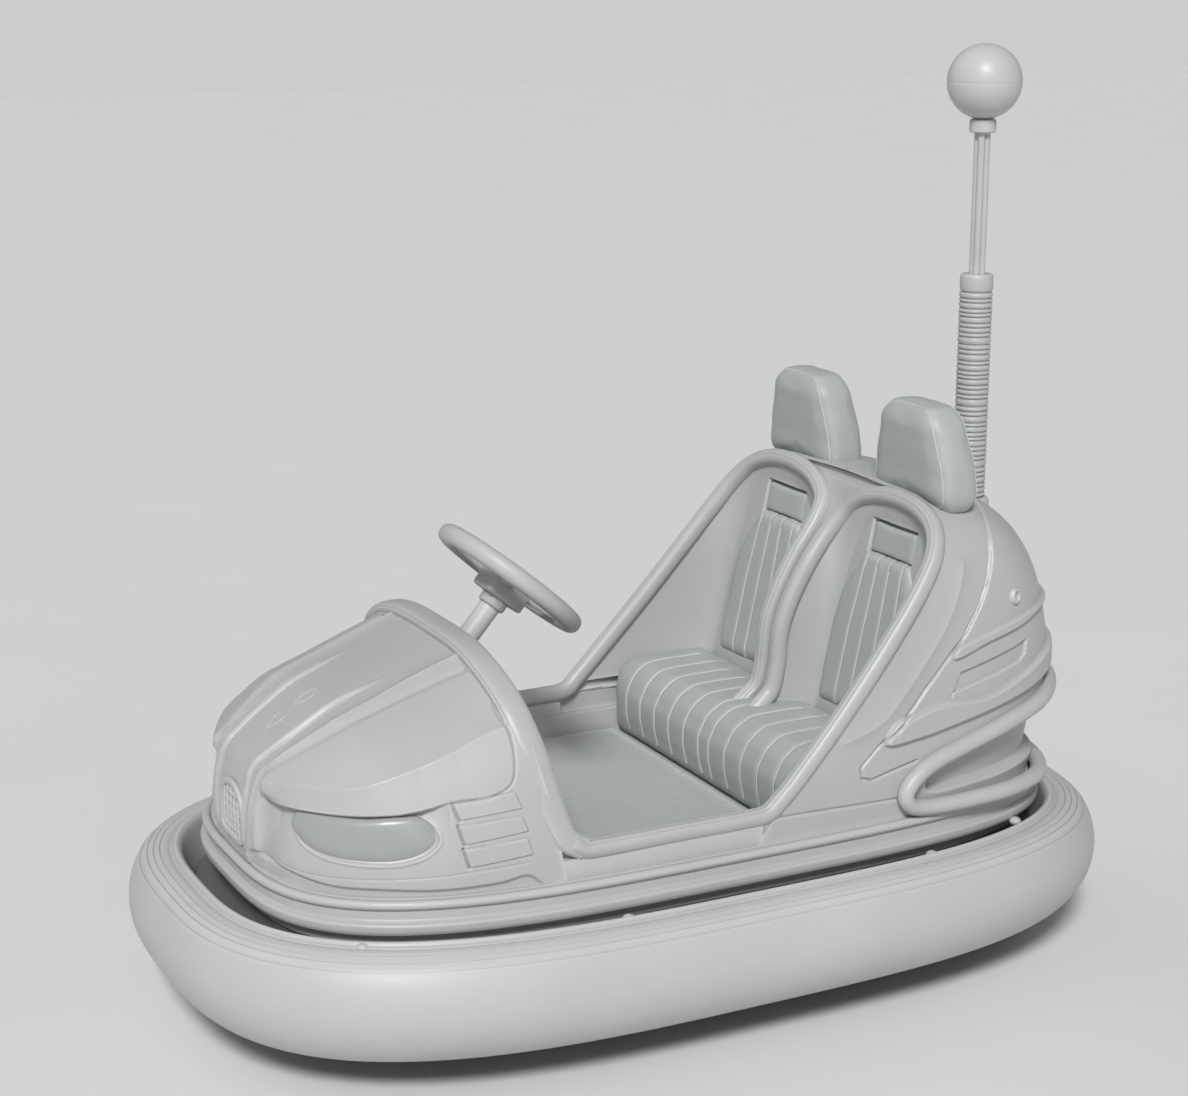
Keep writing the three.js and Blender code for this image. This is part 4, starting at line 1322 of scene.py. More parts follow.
# ------------------------------------------------------------------ cockpit floor and walls
@dataclass
class Cockpit:
    """The ribbed mat, the sills, and the moulded hollows behind the seats."""

    mat_low: Point = (-408.0, -690.0, 300.6)
    mat_high: Point = (408.0, 186.0, 310.0)
    rib_pitch: float = 12.0
    seat_x: float = 202.0

    def build(self) -> None:
        """Makes the mat, the sills and the seat hollows."""
        finished(self.mat(), MAT_RUBBER, ("floor_mat",))
        sills = [self.sill(1.0), self.sill(-1.0)]
        finished(joined("sill_walls", sills), SHELL)
        left = self.hollow("seat_hollow_left")
        right = mirrored_copy(left, "seat_hollow_right")
        finished(joined("seat_hollows", [left, right, self.divider()]), SHELL, ("seat_shell",))

    def mat(self) -> bpy.types.Object:
        """Makes the mat with ribs along the car.

        Returns:
            The piece.
        """
        ribs = int((self.mat_high[0] - self.mat_low[0]) / self.rib_pitch)

        def place(u: Array, v: Array) -> Array:
            """Lays the ribbed sheet inside the body's outline.

            Args:
                u: share across.
                v: share along.

            Returns:
                The points.
            """
            y = self.mat_low[1] + v * (self.mat_high[1] - self.mat_low[1])
            x = self.mat_low[0] + u * (self.mat_high[0] - self.mat_low[0])
            limit = np.maximum(20.0, TUB.half_at(y) - 36.0)
            x = np.clip(x, -limit, limit)
            wave = 0.5 - 0.5 * np.cos(2 * np.pi * u * ribs)
            return np.column_stack([x, y, self.mat_high[2] - 2.0 + 2.4 * wave**0.6])

        piece = woven("ribbed_mat", ribs * 6, 60, place, degrees=60.0)
        apply_modifier(piece, "SOLIDIFY", thickness=7 * MM, offset=-1.0)
        smooth(piece, 60.0)
        return piece

    def sill(self, side: float) -> bpy.types.Object:
        """Makes the wall under the roll on one side.

        Args:
            side: 1 for the left side, -1 for the right.

        Returns:
            The piece.
        """
        stations = np.linspace(-345.0, 66.0, 14)
        points = [(side * (TUB.half_at(np.array([y]))[0] - 12.0), y, 370.0) for y in stations]
        wall = rounded([(-10, -20, 2), (-10, 20, 2), (10, 20, 2), (10, -20, 2)], 3)
        return swept("sill", Rail(points), wall, lambda p: np.tile([side, 0.0, 0.0], (len(p), 1)), step=8.0)

    def rim(self) -> Rail:
        """Gives the line of the roll round the left seat."""
        line = Trim().line
        return Rail([(28, 318, 452), *line[2:18], (425, 143, 462), (424, 100, 420)])

    def back(self, z: Array) -> Array:
        """Gives the backrest panel's place along the car at a height."""
        return 418.0 + 0.21 * (z - 470.0)

    def hollow(self, name: str) -> bpy.types.Object:
        """Makes the smooth hollow of the left seat, from its rim to the back panel.

        Args:
            name: the piece's name.

        Returns:
            The piece.
        """
        rim = self.rim()
        inner = Rail([(62, 0, 440), (62, 0, 500), (64, 0, 600), (72, 0, 720), (88, 0, 812), (116, 0, 852),
                      (160, 0, 868),
                      (205, 0, 871), (250, 0, 868), (292, 0, 852), (322, 0, 812), (338, 0, 740), (350, 0, 640),
                      (357, 0, 540), (360, 0, 480), (360, 0, 440)])

        def place(u: Array, v: Array) -> Array:
            """Blends from the rim round to the panel.

            Args:
                u: share across.
                v: share along.

            Returns:
                The points.
            """
            edge = rim.at(u)[0]
            foot = inner.at(u)[0]
            foot[:, 1] = self.back(foot[:, 2])
            knee = np.column_stack([foot[:, 0] * 0.30 + edge[:, 0] * 0.70, foot[:, 1] - 2.0,
                                    foot[:, 2] * 0.35 + edge[:, 2] * 0.65])
            t = np.clip(v / 0.62, 0, 1)[:, None]
            wall = (1 - t) ** 2 * edge + 2 * t * (1 - t) * knee + t**2 * foot
            s = np.clip((v - 0.62) / 0.38, 0, 1)[:, None]
            middle = np.column_stack([np.full(len(u), 208.0), foot[:, 1], np.minimum(foot[:, 2], 800.0)])
            middle[:, 1] = self.back(middle[:, 2])
            return np.where(v[:, None] <= 0.62, wall, foot + (middle - foot) * s)

        piece = woven(name, 150, 46, place, degrees=70.0)
        piece = self.facing_front(piece)
        corners = [(self.seat_x + a, 0, b) for a, b in ((-75, 792), (75, 792), (75, 862), (-75, 862))]
        pressed(piece, [Mark(View.FRONT, Cut.FIELD, corners, -16.0, closed=True, edge=4.0, straight=True)], rounds=2)
        return self.thickened(piece)

    def divider(self) -> bpy.types.Object:
        """Makes the face between the two rolls.

        Returns:
            The piece.
        """
        line = Trim().line
        side = Rail([(26, 318, 466), *line[2:9], (124, 504, 906), (170, 508, 912), (215, 514, 926)])

        def place(u: Array, v: Array) -> Array:
            """Spans the gap between the rolls, a little hollow.

            Args:
                u: share across.
                v: share along.

            Returns:
                The points.
            """
            edge = side.at(v)[0]
            across = 2 * u - 1
            return np.column_stack([edge[:, 0] * across, edge[:, 1] + 4.0 + 6.0 * (1 - across**2), edge[:, 2]])

        piece = woven("seat_divider", 24, 60, place, degrees=70.0)
        return self.thickened(self.facing_front(piece))

    def facing_front(self, piece: bpy.types.Object) -> bpy.types.Object:
        """Turns an open sheet's faces towards the nose.

        Args:
            piece: the sheet.

        Returns:
            The piece.
        """
        total = sum((polygon.normal.y * polygon.area for polygon in piece.data.polygons))
        if total > 0:
            activate(piece)
            bpy.ops.object.mode_set(mode="EDIT")
            bpy.ops.mesh.select_all(action="SELECT")
            bpy.ops.mesh.flip_normals()
            bpy.ops.object.mode_set(mode="OBJECT")
        return piece

    def thickened(self, piece: bpy.types.Object) -> bpy.types.Object:
        """Gives a sheet its thickness on the far side.

        Args:
            piece: the piece.

        Returns:
            The piece.
        """
        apply_modifier(piece, "SOLIDIFY", thickness=4 * MM, offset=-1.0)
        smooth(piece, 60.0)
        return piece


# ------------------------------------------------------------------ soft pieces
def puffed(piece: bpy.types.Object, voxel: float, cap: float) -> None:
    """Blows a cover up with Cloth, then lets nothing move further than a cap.

    Args:
        piece: the closed cover.
        voxel: remesh size in millimetres.
        cap: the furthest that a point may move, in millimetres.
    """
    apply_modifier(piece, "REMESH", mode="VOXEL", voxel_size=voxel * MM)
    apply_modifier(piece, "SMOOTH", factor=0.5, iterations=6)
    start = coordinates(piece)
    activate(piece)
    cloth = piece.modifiers.new("Cloth", "CLOTH")
    cloth.settings.use_pressure = True
    cloth.settings.uniform_pressure_force = 4.0
    cloth.settings.effector_weights.gravity = 0.0
    cloth.settings.quality = 4
    cloth.point_cache.frame_start = 1
    cloth.point_cache.frame_end = 20
    for step in range(1, 21):
        bpy.context.scene.frame_set(step)
    bpy.ops.object.modifier_apply(modifier=cloth.name)
    bpy.context.scene.frame_set(1)
    moved = coordinates(piece) - start
    far = np.linalg.norm(moved, axis=1, keepdims=True)
    scale = np.where(far > 1e-6, cap * np.tanh(far / cap) / np.maximum(far, 1e-6), 1.0)
    set_coordinates(piece, start + moved * scale)
    apply_modifier(piece, "SMOOTH", factor=0.5, iterations=10)
    smooth(piece, 80.0)


def on_cover(piece: bpy.types.Object, start: Array, aim: Array) -> Array:
    """Casts rays onto a piece.

    Args:
        piece: the piece.
        start: starting points in millimetres.
        aim: points that the rays go towards.

    Returns:
        The points hit, without the misses.
    """
    hits = []
    for a, b in zip(start, aim):
        origin, target = Vector(a) * MM, Vector(b) * MM
        ok, place, _, _ = piece.ray_cast(origin, (target - origin).normalized())
        if ok:
            hits.append(np.array(place) / MM)
    return np.array(hits)


@dataclass
class Seats:
    """The bench cushion, the backrest pads and the headrests."""

    seat_x: float = 202.0
    cushion_side: tuple[tuple[float, float, float], ...] = (
        (200, 304, 6), (189, 330, 10), (187, 412, 20), (196, 444, 26), (222, 465, 30), (262, 471, 30),
        (412, 471, 10),
        (408, 440, 8), (376, 304, 6),
    )
    cushion_half: float = 402.0
    cushion_lines: tuple[float, ...] = (21.0, 84.0, 147.0, 210.0, 273.0, 336.0)
    pad: tuple[tuple[float, float], ...] = (
        (-143, 472), (143, 472), (143, 640), (132, 708), (74, 800), (-74, 800), (-132, 708), (-143, 640),
    )
    pad_face: float = 410.0
    pad_lines: tuple[float, ...] = (-74.0, -24.0, 26.0, 76.0)
    headrest_levels: tuple[tuple[float, float, float, float], ...] = (
        (899, 113, 537, 603), (925, 127, 522, 612), (975, 126, 517, 613), (1040, 108, 512, 606),
        (1084, 90, 511, 597), (1104, 72, 521, 586),
    )

    def build(self) -> None:
        """Makes every soft piece, the left ones copied to the right."""
        cushion, piping = self.cushion()
        finished(cushion, SEAT_COVER, ("seat_cushion",))
        finished(piping, PIPING)
        pad, lines = self.backrest()
        upper = self.upper_pad()
        head, seam = self.headrest()
        for left, word, finish, node in (
            (pad, "fluted_back", SEAT_COVER, "backrest_pad"), (lines, "back_piping", PIPING, ""),
            (upper, "neck_pad", SEAT_COVER, "upper_pad"), (head, "head_block", SEAT_COVER, "headrest"),
            (seam, "head_seam", PIPING, ""),
        ):
            left.name = left.data.name = f"{word}_left"
            right = mirrored_copy(left, f"{word}_right")
            for piece, side in ((left, "left"), (right, "right")):
                finished(piece, finish, (f"{node}_{side}",) if node else ())

    def cushion(self) -> tuple[bpy.types.Object, bpy.types.Object]:
        """Makes the bench cushion with its waterfall front.

        Returns:
            The cushion and its piping.
        """
        section = rounded([(y, z, r) for y, z, r in self.cushion_side], 7)

        def place(u: Array, v: Array) -> Array:
            """Runs the side profile across, with rounded ends.

            Args:
                u: share across.
                v: share along.

            Returns:
                The points.
            """
            across = 2 * u - 1
            y, z = read_section(section, v)
            shrink = 1 - 0.10 * np.abs(across) ** 26
            middle = np.array([300.0, 385.0])
            return np.column_stack([self.cushion_half * np.sin(across * np.pi / 2) ** 1 * 1.0,
                                    middle[0] + (y - middle[0]) * shrink, middle[1] + (z - middle[1]) * shrink])

        piece = woven("bench_cushion", 90, len(section), place, fill=True)
        puffed(piece, 6.0, 3.5)
        lines = sorted({*self.cushion_lines, *(-x for x in self.cushion_lines)})
        marks = [Mark(View.FRONT, Cut.GROOVE, ((abs(x), 200, 306), (abs(x), 200, 520)), 2.6, 8.0)
                 for x in self.cushion_lines]
        pressed(piece, marks, rounds=1, degrees=80.0)
        cords = []
        for x in lines:
            turns = np.radians(np.linspace(52.0, 213.0, 46))
            start = np.column_stack([np.full(46, x), 300 + 260 * np.cos(turns), 385 + 260 * np.sin(turns)])
            aim = np.tile([x, 300.0, 385.0], (46, 1))
            hits = on_cover(piece, start, aim)
            if len(hits) > 8:
                cords.append(swept("cord", Rail([tuple(h) for h in hits[::2]]), circle(1.7, 8),
                                   lambda p: p - np.array([0.0, 300.0, 385.0]), step=6.0, offset=(1.3, 0.0)))
        return piece, joined("bench_piping", cords)

    def backrest(self) -> tuple[bpy.types.Object, bpy.types.Object]:
        """Makes the fluted pad of the left backrest.

        Returns:
            The pad and its piping.
        """
        outline = rounded([(x, z, 7) for x, z in self.pad], 4)
        loop = np.vstack([outline, outline[:1]])

        def place(u: Array, v: Array) -> Array:
            """Closes the outline from the front middle round to the back middle.

            Args:
                u: share across.
                v: share along.

            Returns:
                The points.
            """
            k = v * len(outline)
            x = np.interp(k, np.arange(len(loop)), loop[:, 0])
            z = np.interp(k, np.arange(len(loop)), loop[:, 1])
            stations = np.array([0.0, 0.42, 0.46, 0.50, 0.62, 1.0])
            size = np.interp(u, stations, [0.0, 0.955, 0.985, 1.0, 1.0, 0.0])
            depth = np.interp(u, stations, [0.0, 0.0, 2.0, 8.0, 26.0, 26.0])
            x, z = x * size, 636 + (z - 636) * size
            knee = 16.0 * np.clip((505 - z) / 34, 0, 1) ** 2
            return np.column_stack([self.seat_x + x, self.pad_face + 0.21 * (z - 470) + depth + knee, z])

        piece = woven("pad", 40, len(outline) * 2, place, fill=True)
        puffed(piece, 4.5, 3.0)
        marks = []
        for x in self.pad_lines:
            marks.append(Mark(View.FRONT, Cut.GROOVE, ((self.seat_x + x, 0, 470), (self.seat_x + x * 0.98, 0, 640),
                                                       (self.seat_x + x * 0.80, 0, 802)), 2.4, 7.0, straight=True))
        pressed(piece, marks, rounds=1, degrees=80.0)
        cords = []
        for x in self.pad_lines:
            z = np.linspace(476, 797 - max(0.0, abs(x) * 0.8 - 56) * 1.7, 30)
            across = self.seat_x + x * np.interp(z, [470, 640, 802], [1.0, 0.98, 0.80])
            start = np.column_stack([across, np.full(30, 100.0), z])
            hits = on_cover(piece, start, start + np.array([0.0, 300.0, 0.0]))
            if len(hits) > 8:
                cords.append(swept("cord", Rail([tuple(h) for h in hits[::2]]), circle(1.6, 8),
                                   lambda p: np.tile([0.0, -1.0, 0.0], (len(p), 1)), step=6.0, offset=(1.3, 0.0)))
        return piece, joined("pad_piping", cords)

    def upper_pad(self) -> bpy.types.Object:
        """Makes the small flat pad above the left backrest pad.

        Returns:
            The piece.
        """
        piece = block("upper", (self.seat_x - 73, 1, 796), (self.seat_x + 73, 14, 857), bevel=3.0, segments=4)
        points = coordinates(piece)
        points[:, 1] += self.pad_face + 9.0 + 0.21 * (points[:, 2] - 470)
        set_coordinates(piece, points)
        puffed(piece, 3.0, 2.0)
        return piece

    def headrest(self) -> tuple[bpy.types.Object, bpy.types.Object]:
        """Makes the left headrest, tapered and hollow underneath.

        Returns:
            The headrest and its seam cord.
        """
        table = np.array(self.headrest_levels, dtype=float)

        def outline(v: Array, z: Array, inset: float) -> Array:
            """Reads the block's plan outline at a height.

            Args:
                v: share along.
                z: height of each point.
                inset: distance inwards.

            Returns:
                The points.
            """
            half = smooth_curve(z, table[:, 0], table[:, 1]) - inset
            front = smooth_curve(z, table[:, 0], table[:, 2]) + inset
            rear = smooth_curve(z, table[:, 0], table[:, 3]) - inset
            a = 2 * np.pi * v
            return np.column_stack([self.seat_x + half * power(np.cos(a), 0.42),
                                    (front + rear) / 2 + (rear - front) / 2 * power(np.sin(a), 0.42), z])

        def place(u: Array, v: Array) -> Array:
            """Rises from the hollow underside over the sides to the crown.

            Args:
                u: share across.
                v: share along.

            Returns:
                The points.
            """
            t = np.clip((u - 0.12) / 0.76, 0, 1)
            z = table[0, 0] + t * (table[-1, 0] - table[0, 0])
            points = outline(v, z, 0.0)
            close = np.where(u < 0.12, u / 0.12, np.where(u > 0.88, (1 - u) / 0.12, 1.0))
            middle = np.column_stack([np.full(len(u), self.seat_x), np.full(len(u), 566.0), z])
            points = middle + (points - middle) * close[:, None]
            points[:, 2] += (np.where(u < 0.5, 1.0, 0.0) * 20.0
                             * (1 - ((points[:, 0] - self.seat_x) / 118.0) ** 2) * np.exp(-t * 5))
            points[:, 2] += np.where(u > 0.88, 5.0 * (1 - close**2), 0.0)
            return points

        piece = woven("head", 60, 84, place, degrees=80.0, merge=0.05)
        puffed(piece, 4.0, 2.0)
        a = np.linspace(0.0, 2 * np.pi, 120, endpoint=False)
        shape = np.column_stack([
            smooth_curve(1002 + 99 * power(np.sin(a), 0.55), table[:, 0], table[:, 1]) * power(np.cos(a), 0.5) * 0.96,
            1002 + 99 * power(np.sin(a), 0.55)])
        loops = []
        for depth in (0.10, 0.90):
            front = smooth_curve(shape[:, 1], table[:, 0], table[:, 2])
            rear = smooth_curve(shape[:, 1], table[:, 0], table[:, 3])
            y = front + (rear - front) * depth
            centre = np.array([self.seat_x, 0.0, 1000.0])
            ring = np.column_stack([self.seat_x + shape[:, 0], y, shape[:, 1]])
            outward = ring - centre
            outward[:, 1] = 0
            outward /= np.linalg.norm(outward, axis=1, keepdims=True)
            hits = on_cover(piece, ring + outward * 60, ring - outward * 60)
            if len(hits) > 40:
                loops.append(swept("seam", Rail([tuple(h) for h in hits[::3]], closed=True), circle(1.3, 8),
                                   lambda p: p - np.array([self.seat_x, 566.0, 1000.0]), step=5.0))
        return piece, joined("head_seams", loops)


# ------------------------------------------------------------------ rear body
@dataclass
class RearBody:
    """The rounded tail with its steps, recesses and trim loop."""

    levels: tuple[tuple[float, float, float, float, float], ...] = (
        (352.3, 436, 55, 826, 3.8), (400, 437, 90, 836, 3.8), (450, 436, 135, 844, 3.8),
        (520, 431, 190, 852, 3.8),
        (600, 424, 258, 856, 3.7), (650, 418, 302, 850, 3.7), (700, 410, 343, 841, 3.6),
        (765, 400, 402, 822, 3.4),
        (820, 388, 442, 793, 3.2), (858, 372, 470, 764, 3.0), (888, 343, 490, 730, 2.8),
        (912, 296, 504, 692, 2.6),
        (928, 236, 514, 650, 2.4),
    )
    loop: tuple[Point, ...] = (
        (0, 868, 540), (180, 861, 538), (280, 828, 532), (370, 746, 520), (414, 636, 501), (432, 520, 475),
        (439, 450, 457), (443, 411, 440), (446, 384, 418), (447, 375, 398), (446, 388, 378), (445, 430, 368),
        (443, 560, 368),
        (425, 650, 368), (378, 738, 368), (292, 794, 368), (176, 818, 368), (0, 824, 368),
    )

    def place(self, u: Array, v: Array) -> Array:
        """Wraps the grid round the tail and closes it over the deck.

        Args:
            u: share across.
            v: share along.

        Returns:
            The points.
        """
        table = np.array(self.levels)
        rows = np.linspace(table[0, 0], table[-1, 0], 81)
        shares = np.linspace(0, 1, 201)
        a = np.linspace(0, np.pi, 1201)
        xs, ys = np.empty((81, 201)), np.empty((81, 201))
        for k, z in enumerate(rows):
            half, front, rear = (smooth_curve(np.array([z]), table[:, 0], table[:, c])[0] for c in (1, 2, 3))
            e = 2 / np.interp(z, table[:, 0], table[:, 4])
            x, y = half * power(np.cos(a), e), front + (rear - front) * np.abs(np.sin(a)) ** e
            run = np.concatenate([[0.0], np.cumsum(np.hypot(np.diff(x), np.diff(y)))])
            xs[k], ys[k] = np.interp(shares * run[-1], run, x), np.interp(shares * run[-1], run, y)
        side = np.clip(v / 0.86, 0, 1)
        i = np.clip(np.interp(side, [0, 0.75, 1], [0, 0.84, 1]) * 80, 0, 79.999)
        j = np.clip(u * 200, 0, 199.999)
        i0, j0 = i.astype(int), j.astype(int)
        fi, fj = i - i0, j - j0
        read = lambda t: ((1 - fi) * ((1 - fj) * t[i0, j0] + fj * t[i0, j0 + 1])
                          + fi * ((1 - fj) * t[i0 + 1, j0] + fj * t[i0 + 1, j0 + 1]))
        x, y = read(xs), read(ys)
        z = rows[0] + i / 80 * (rows[-1] - rows[0])
        close = np.clip((v - 0.86) / 0.14, 0, 1)
        x, y = x * (1 - close), y + (514.0 - y) * close
        z = z + 9.0 * np.sin(close * np.pi / 2)
        return np.column_stack([x, y, z])

    def marks(self) -> list[Mark]:
        """Lists the steps, grooves and recesses.

        Returns:
            The marks.
        """
        soft = ((381, 532, 832), (396, 512, 773), (406, 482, 715), (414, 441, 665), (422, 388, 606), (427, 325, 548),
                (431, 231, 517))
        double = ((236, 659, 904), (313, 626, 889), (359, 607, 858), (377, 599, 823), (388, 585, 784),
                  (399, 558, 732),
                  (409, 519, 682), (415, 487, 655), (422, 430, 600), (427, 379, 547), (431, 320, 503),
                  (434, 279, 466),
                  (434, 282, 446), (435, 304, 439), (434, 316, 442), (433, 360, 452), (432, 408, 461))
        second = tuple((x, y + 9, z + 5) for x, y, z in double[:11])
        ledge = ((427, 330, 505), (426, 360, 545), (427, 387, 550), (423, 477, 566), (414, 568, 561), (388, 682, 587),
                 (348, 755, 610), (240, 820, 628), (0, 853, 634), (0, 853, 590), (240, 820, 584),
                 (345, 760, 565),
                 (402, 635, 542), (424, 491, 519), (430, 403, 506))
        upper_line = ((428, 352, 520), (428, 370, 536), (425, 420, 556), (422, 482, 563), (414, 568, 560))
        spear = ((414, 500, 662), (404, 583, 685), (355, 727, 709), (240, 812, 716), (0, 850, 718), (0, 850, 708),
                 (240, 812, 705), (344, 744, 700), (387, 660, 681), (406, 582, 667), (416, 495, 647))
        recess = ((422, 486, 566), (417, 513, 617), (381, 695, 651), (384, 690, 623), (390, 673, 612),
                  (421, 490, 580))
        dark = ((430, 437, 400), (430, 448, 432), (421, 539, 452), (392, 667, 478), (330, 760, 492), (200, 826, 500),
                (0, 846, 502), (0, 846, 398), (200, 826, 398), (330, 750, 396), (416, 560, 392))
        low = ((436, 75, 400), (436, 159, 398), (434, 290, 394), (433, 381, 391))
        return [
            Mark(View.SIDE, Cut.CREASE, soft, 6.0, 18.0, taper=0.05, near=(150, 620, 480, 880)),
            Mark(View.SIDE, Cut.GROOVE, double, 5.0, 4.6, straight=True, near=(240, 690, 420, 925)),
            Mark(View.SIDE, Cut.GROOVE, second, 3.4, 4.0, near=(240, 690, 420, 925)),
            Mark(View.WRAP, Cut.FIELD, ledge, 12.0, closed=True, edge=8.0, near=(250, 900, 480, 680)),
            Mark(View.WRAP, Cut.GROOVE, upper_line, 3.0, 3.6),
            Mark(View.WRAP, Cut.FIELD, spear, 9.0, closed=True, edge=6.0, near=(440, 900, 620, 760)),
            Mark(View.WRAP, Cut.FIELD, recess, -7.0, closed=True, edge=3.5, straight=True, near=(440, 760, 540, 680)),
            Mark(View.WRAP, Cut.FIELD, dark, -22.0, closed=True, edge=12.0, near=(380, 900, 370, 530)),
            Mark(View.WRAP, Cut.GROOVE, low, 3.6, 4.4, near=(60, 400, 360, 430)),
        ]

    def build(self) -> None:
        """Makes the tail, its bosses and the loop."""
        tail = woven("tail_shell", 210, 110, self.place, merge=0.05)
        pressed(tail, self.marks(), rounds=2)
        bosses = [self.boss(tail, side) for side in (1.0, -1.0)]
        apply_modifier(tail, "SOLIDIFY", thickness=5 * MM, offset=-1.0)
        smooth(tail, 50.0)
        finished(tail, SHELL, ("rear_body",))
        finished(joined("tail_bosses", bosses), SHELL)
        mirrored = [(-x, y, z) for x, y, z in self.loop[1:-1]][::-1]
        rail = Rail([*self.loop, *mirrored], closed=True)
        bar = swept("tail_loop", rail, circle(16.6, 24), lambda p: p - np.array([0.0, 520.0, 440.0]), step=8.0)
        finished(bar, SHELL, ("rear_trim_loop",))

    def boss(self, tail: bpy.types.Object, side: float) -> bpy.types.Object:
        """Makes a round boss on the tail's shoulder.

        Args:
            tail: the tail.
            side: 1 for the left side, -1 for the right.

        Returns:
            The piece.
        """
        aim = np.array([[side * 378.0, 661.0, 741.0]])
        out = np.array([[side * 0.90, 0.42, 0.12]])
        hit = on_cover(tail, aim + out * 80, aim - out * 40)[0]
        axis = Vector(out[0]).normalized()
        turn = axis.to_track_quat("Z", "Y").to_matrix()
        profile = np.array([(0, -1.0), (5, -1.0), (7.5, 0.5), (9, 4.6), (11, 6.4), (13.5, 6.0), (15.5, 3.6),
                           (17.0, -4.0)])
        return lathe("boss", profile, Matrix.Translation(Vector(hit)) @ turn.to_4x4(), 32)


def lathe(name: str, profile: Array, place_at: Matrix, sides: int = 48, fill: bool = False,
          degrees: float = 40.0) -> bpy.types.Object:
    """Turns a profile round an axis.

    Args:
        name: the piece's name.
        profile: [radius, height] points in millimetres.
        place_at: matrix that puts the axis in its place, in millimetres.
        sides: faces round the axis.
        fill: whether open ends are closed.
        degrees: shading angle.

    Returns:
        The piece.
    """
    matrix = np.array(place_at)

    def place(u: Array, v: Array) -> Array:
        """Turns the profile.

        Args:
            u: share across.
            v: share along.

        Returns:
            The points.
        """
        k = v * (len(profile) - 1)
        r = np.interp(k, np.arange(len(profile)), profile[:, 0])
        h = np.interp(k, np.arange(len(profile)), profile[:, 1])
        a = 2 * np.pi * np.where(u >= 1.0, 0.0, u)
        flat = np.column_stack([r * np.cos(a), r * np.sin(a), h, np.ones(len(u))])
        return (flat @ matrix.T)[:, :3]

    return woven(name, sides, len(profile) - 1, place, fill=fill, degrees=degrees)


# ------------------------------------------------------------------ mast
@dataclass
class Mast:
    """The current collector: socket, spring, rods and ball."""

    y: float = 819.0
    spring_top: float = 1280.0
    cap_top: float = 1316.0
    ball_centre: float = 1703.0
    ball_radius: float = 75.5
    pitches: tuple[float, ...] = (9.0, 12.5, 8.0, 14.0, 9.5, 10.5, 16.0, 8.5, 11.0, 9.0, 13.0, 8.0)

    def build(self) -> None:
        """Makes every piece of the mast."""
        here = Matrix.Translation((0.0, self.y, 0.0))
        socket = np.array([(0, 742), (43, 742), (44, 745), (44, 838), (42.5, 843), (38, 847), (35.5, 848), (0, 848)])
        finished(lathe("mast_foot", socket, here, 64), MAST_METAL, ("mast_socket",))
        finished(lathe("mast_coils", self.coils(), here, 64, degrees=60.0), MAST_METAL, ("mast_spring",))
        cap = np.array([(0, 1280.4), (31, 1280.4), (33.5, 1283), (34, 1286), (34, 1309), (33, 1313),
                        (30, 1316), (12, 1316.0),
                        (0, 1316.0)])
        finished(lathe("mast_top_cap", cap, here, 64), MAST_METAL, ("mast_cap",))
        rods = []
        for x, y in ((6.5, 6.5), (-6.5, 6.5), (-6.5, -6.5), (6.5, -6.5)):
            rod = np.array([(0, self.cap_top), (7.2, self.cap_top), (7.2, 1360), (7.2, 1590), (7.2, 1602), (0, 1602)])
            rods.append(lathe("rod", rod, Matrix.Translation((x, self.y + y, 0.0)), 24))
        finished(joined("mast_bars", rods), MAST_METAL, ("mast_rods",))
        collar = np.array([(0, 1602), (25, 1602), (27, 1604), (27, 1624), (26, 1627), (22, 1629), (0, 1629)])
        finished(lathe("ball_neck", collar, here, 48), MAST_METAL, ("ball_collar",))
        finished(self.ball(), BALL_SHELL, ("mast_ball",))

    def coils(self) -> Array:
        """Gives the profile of the uneven rings.

        Returns:
            The [radius, height] points.
        """
        points = [(0.0, 848.2), (27.0, 848.2)]
        z, k = 850.0, 0
        while z < self.spring_top - 6:
            pitch = min(self.pitches[k % len(self.pitches)], self.spring_top - 1 - z)
            for t in np.linspace(0.0, 1.0, 8):
                points.append((30.6 + 3.8 * math.sin(math.pi * t) ** 0.6, z + t * pitch))
            z, k = z + pitch, k + 1
        points += [(27.0, self.spring_top), (0.0, self.spring_top)]
        return np.array(points)

    def ball(self) -> bpy.types.Object:
        """Makes the hollow ball with a fine seam at its middle.

        Returns:
            The piece.
        """
        a = np.radians(np.linspace(-90, 90, 97))
        r = self.ball_radius - 0.8 * np.exp(-((np.degrees(a)) / 0.8) ** 2)
        profile = np.column_stack([np.abs(r * np.cos(a)), self.ball_centre + r * np.sin(a)])
        return lathe("top_ball", profile, Matrix.Translation((0.0, self.y, 0.0)), 96, degrees=60.0)


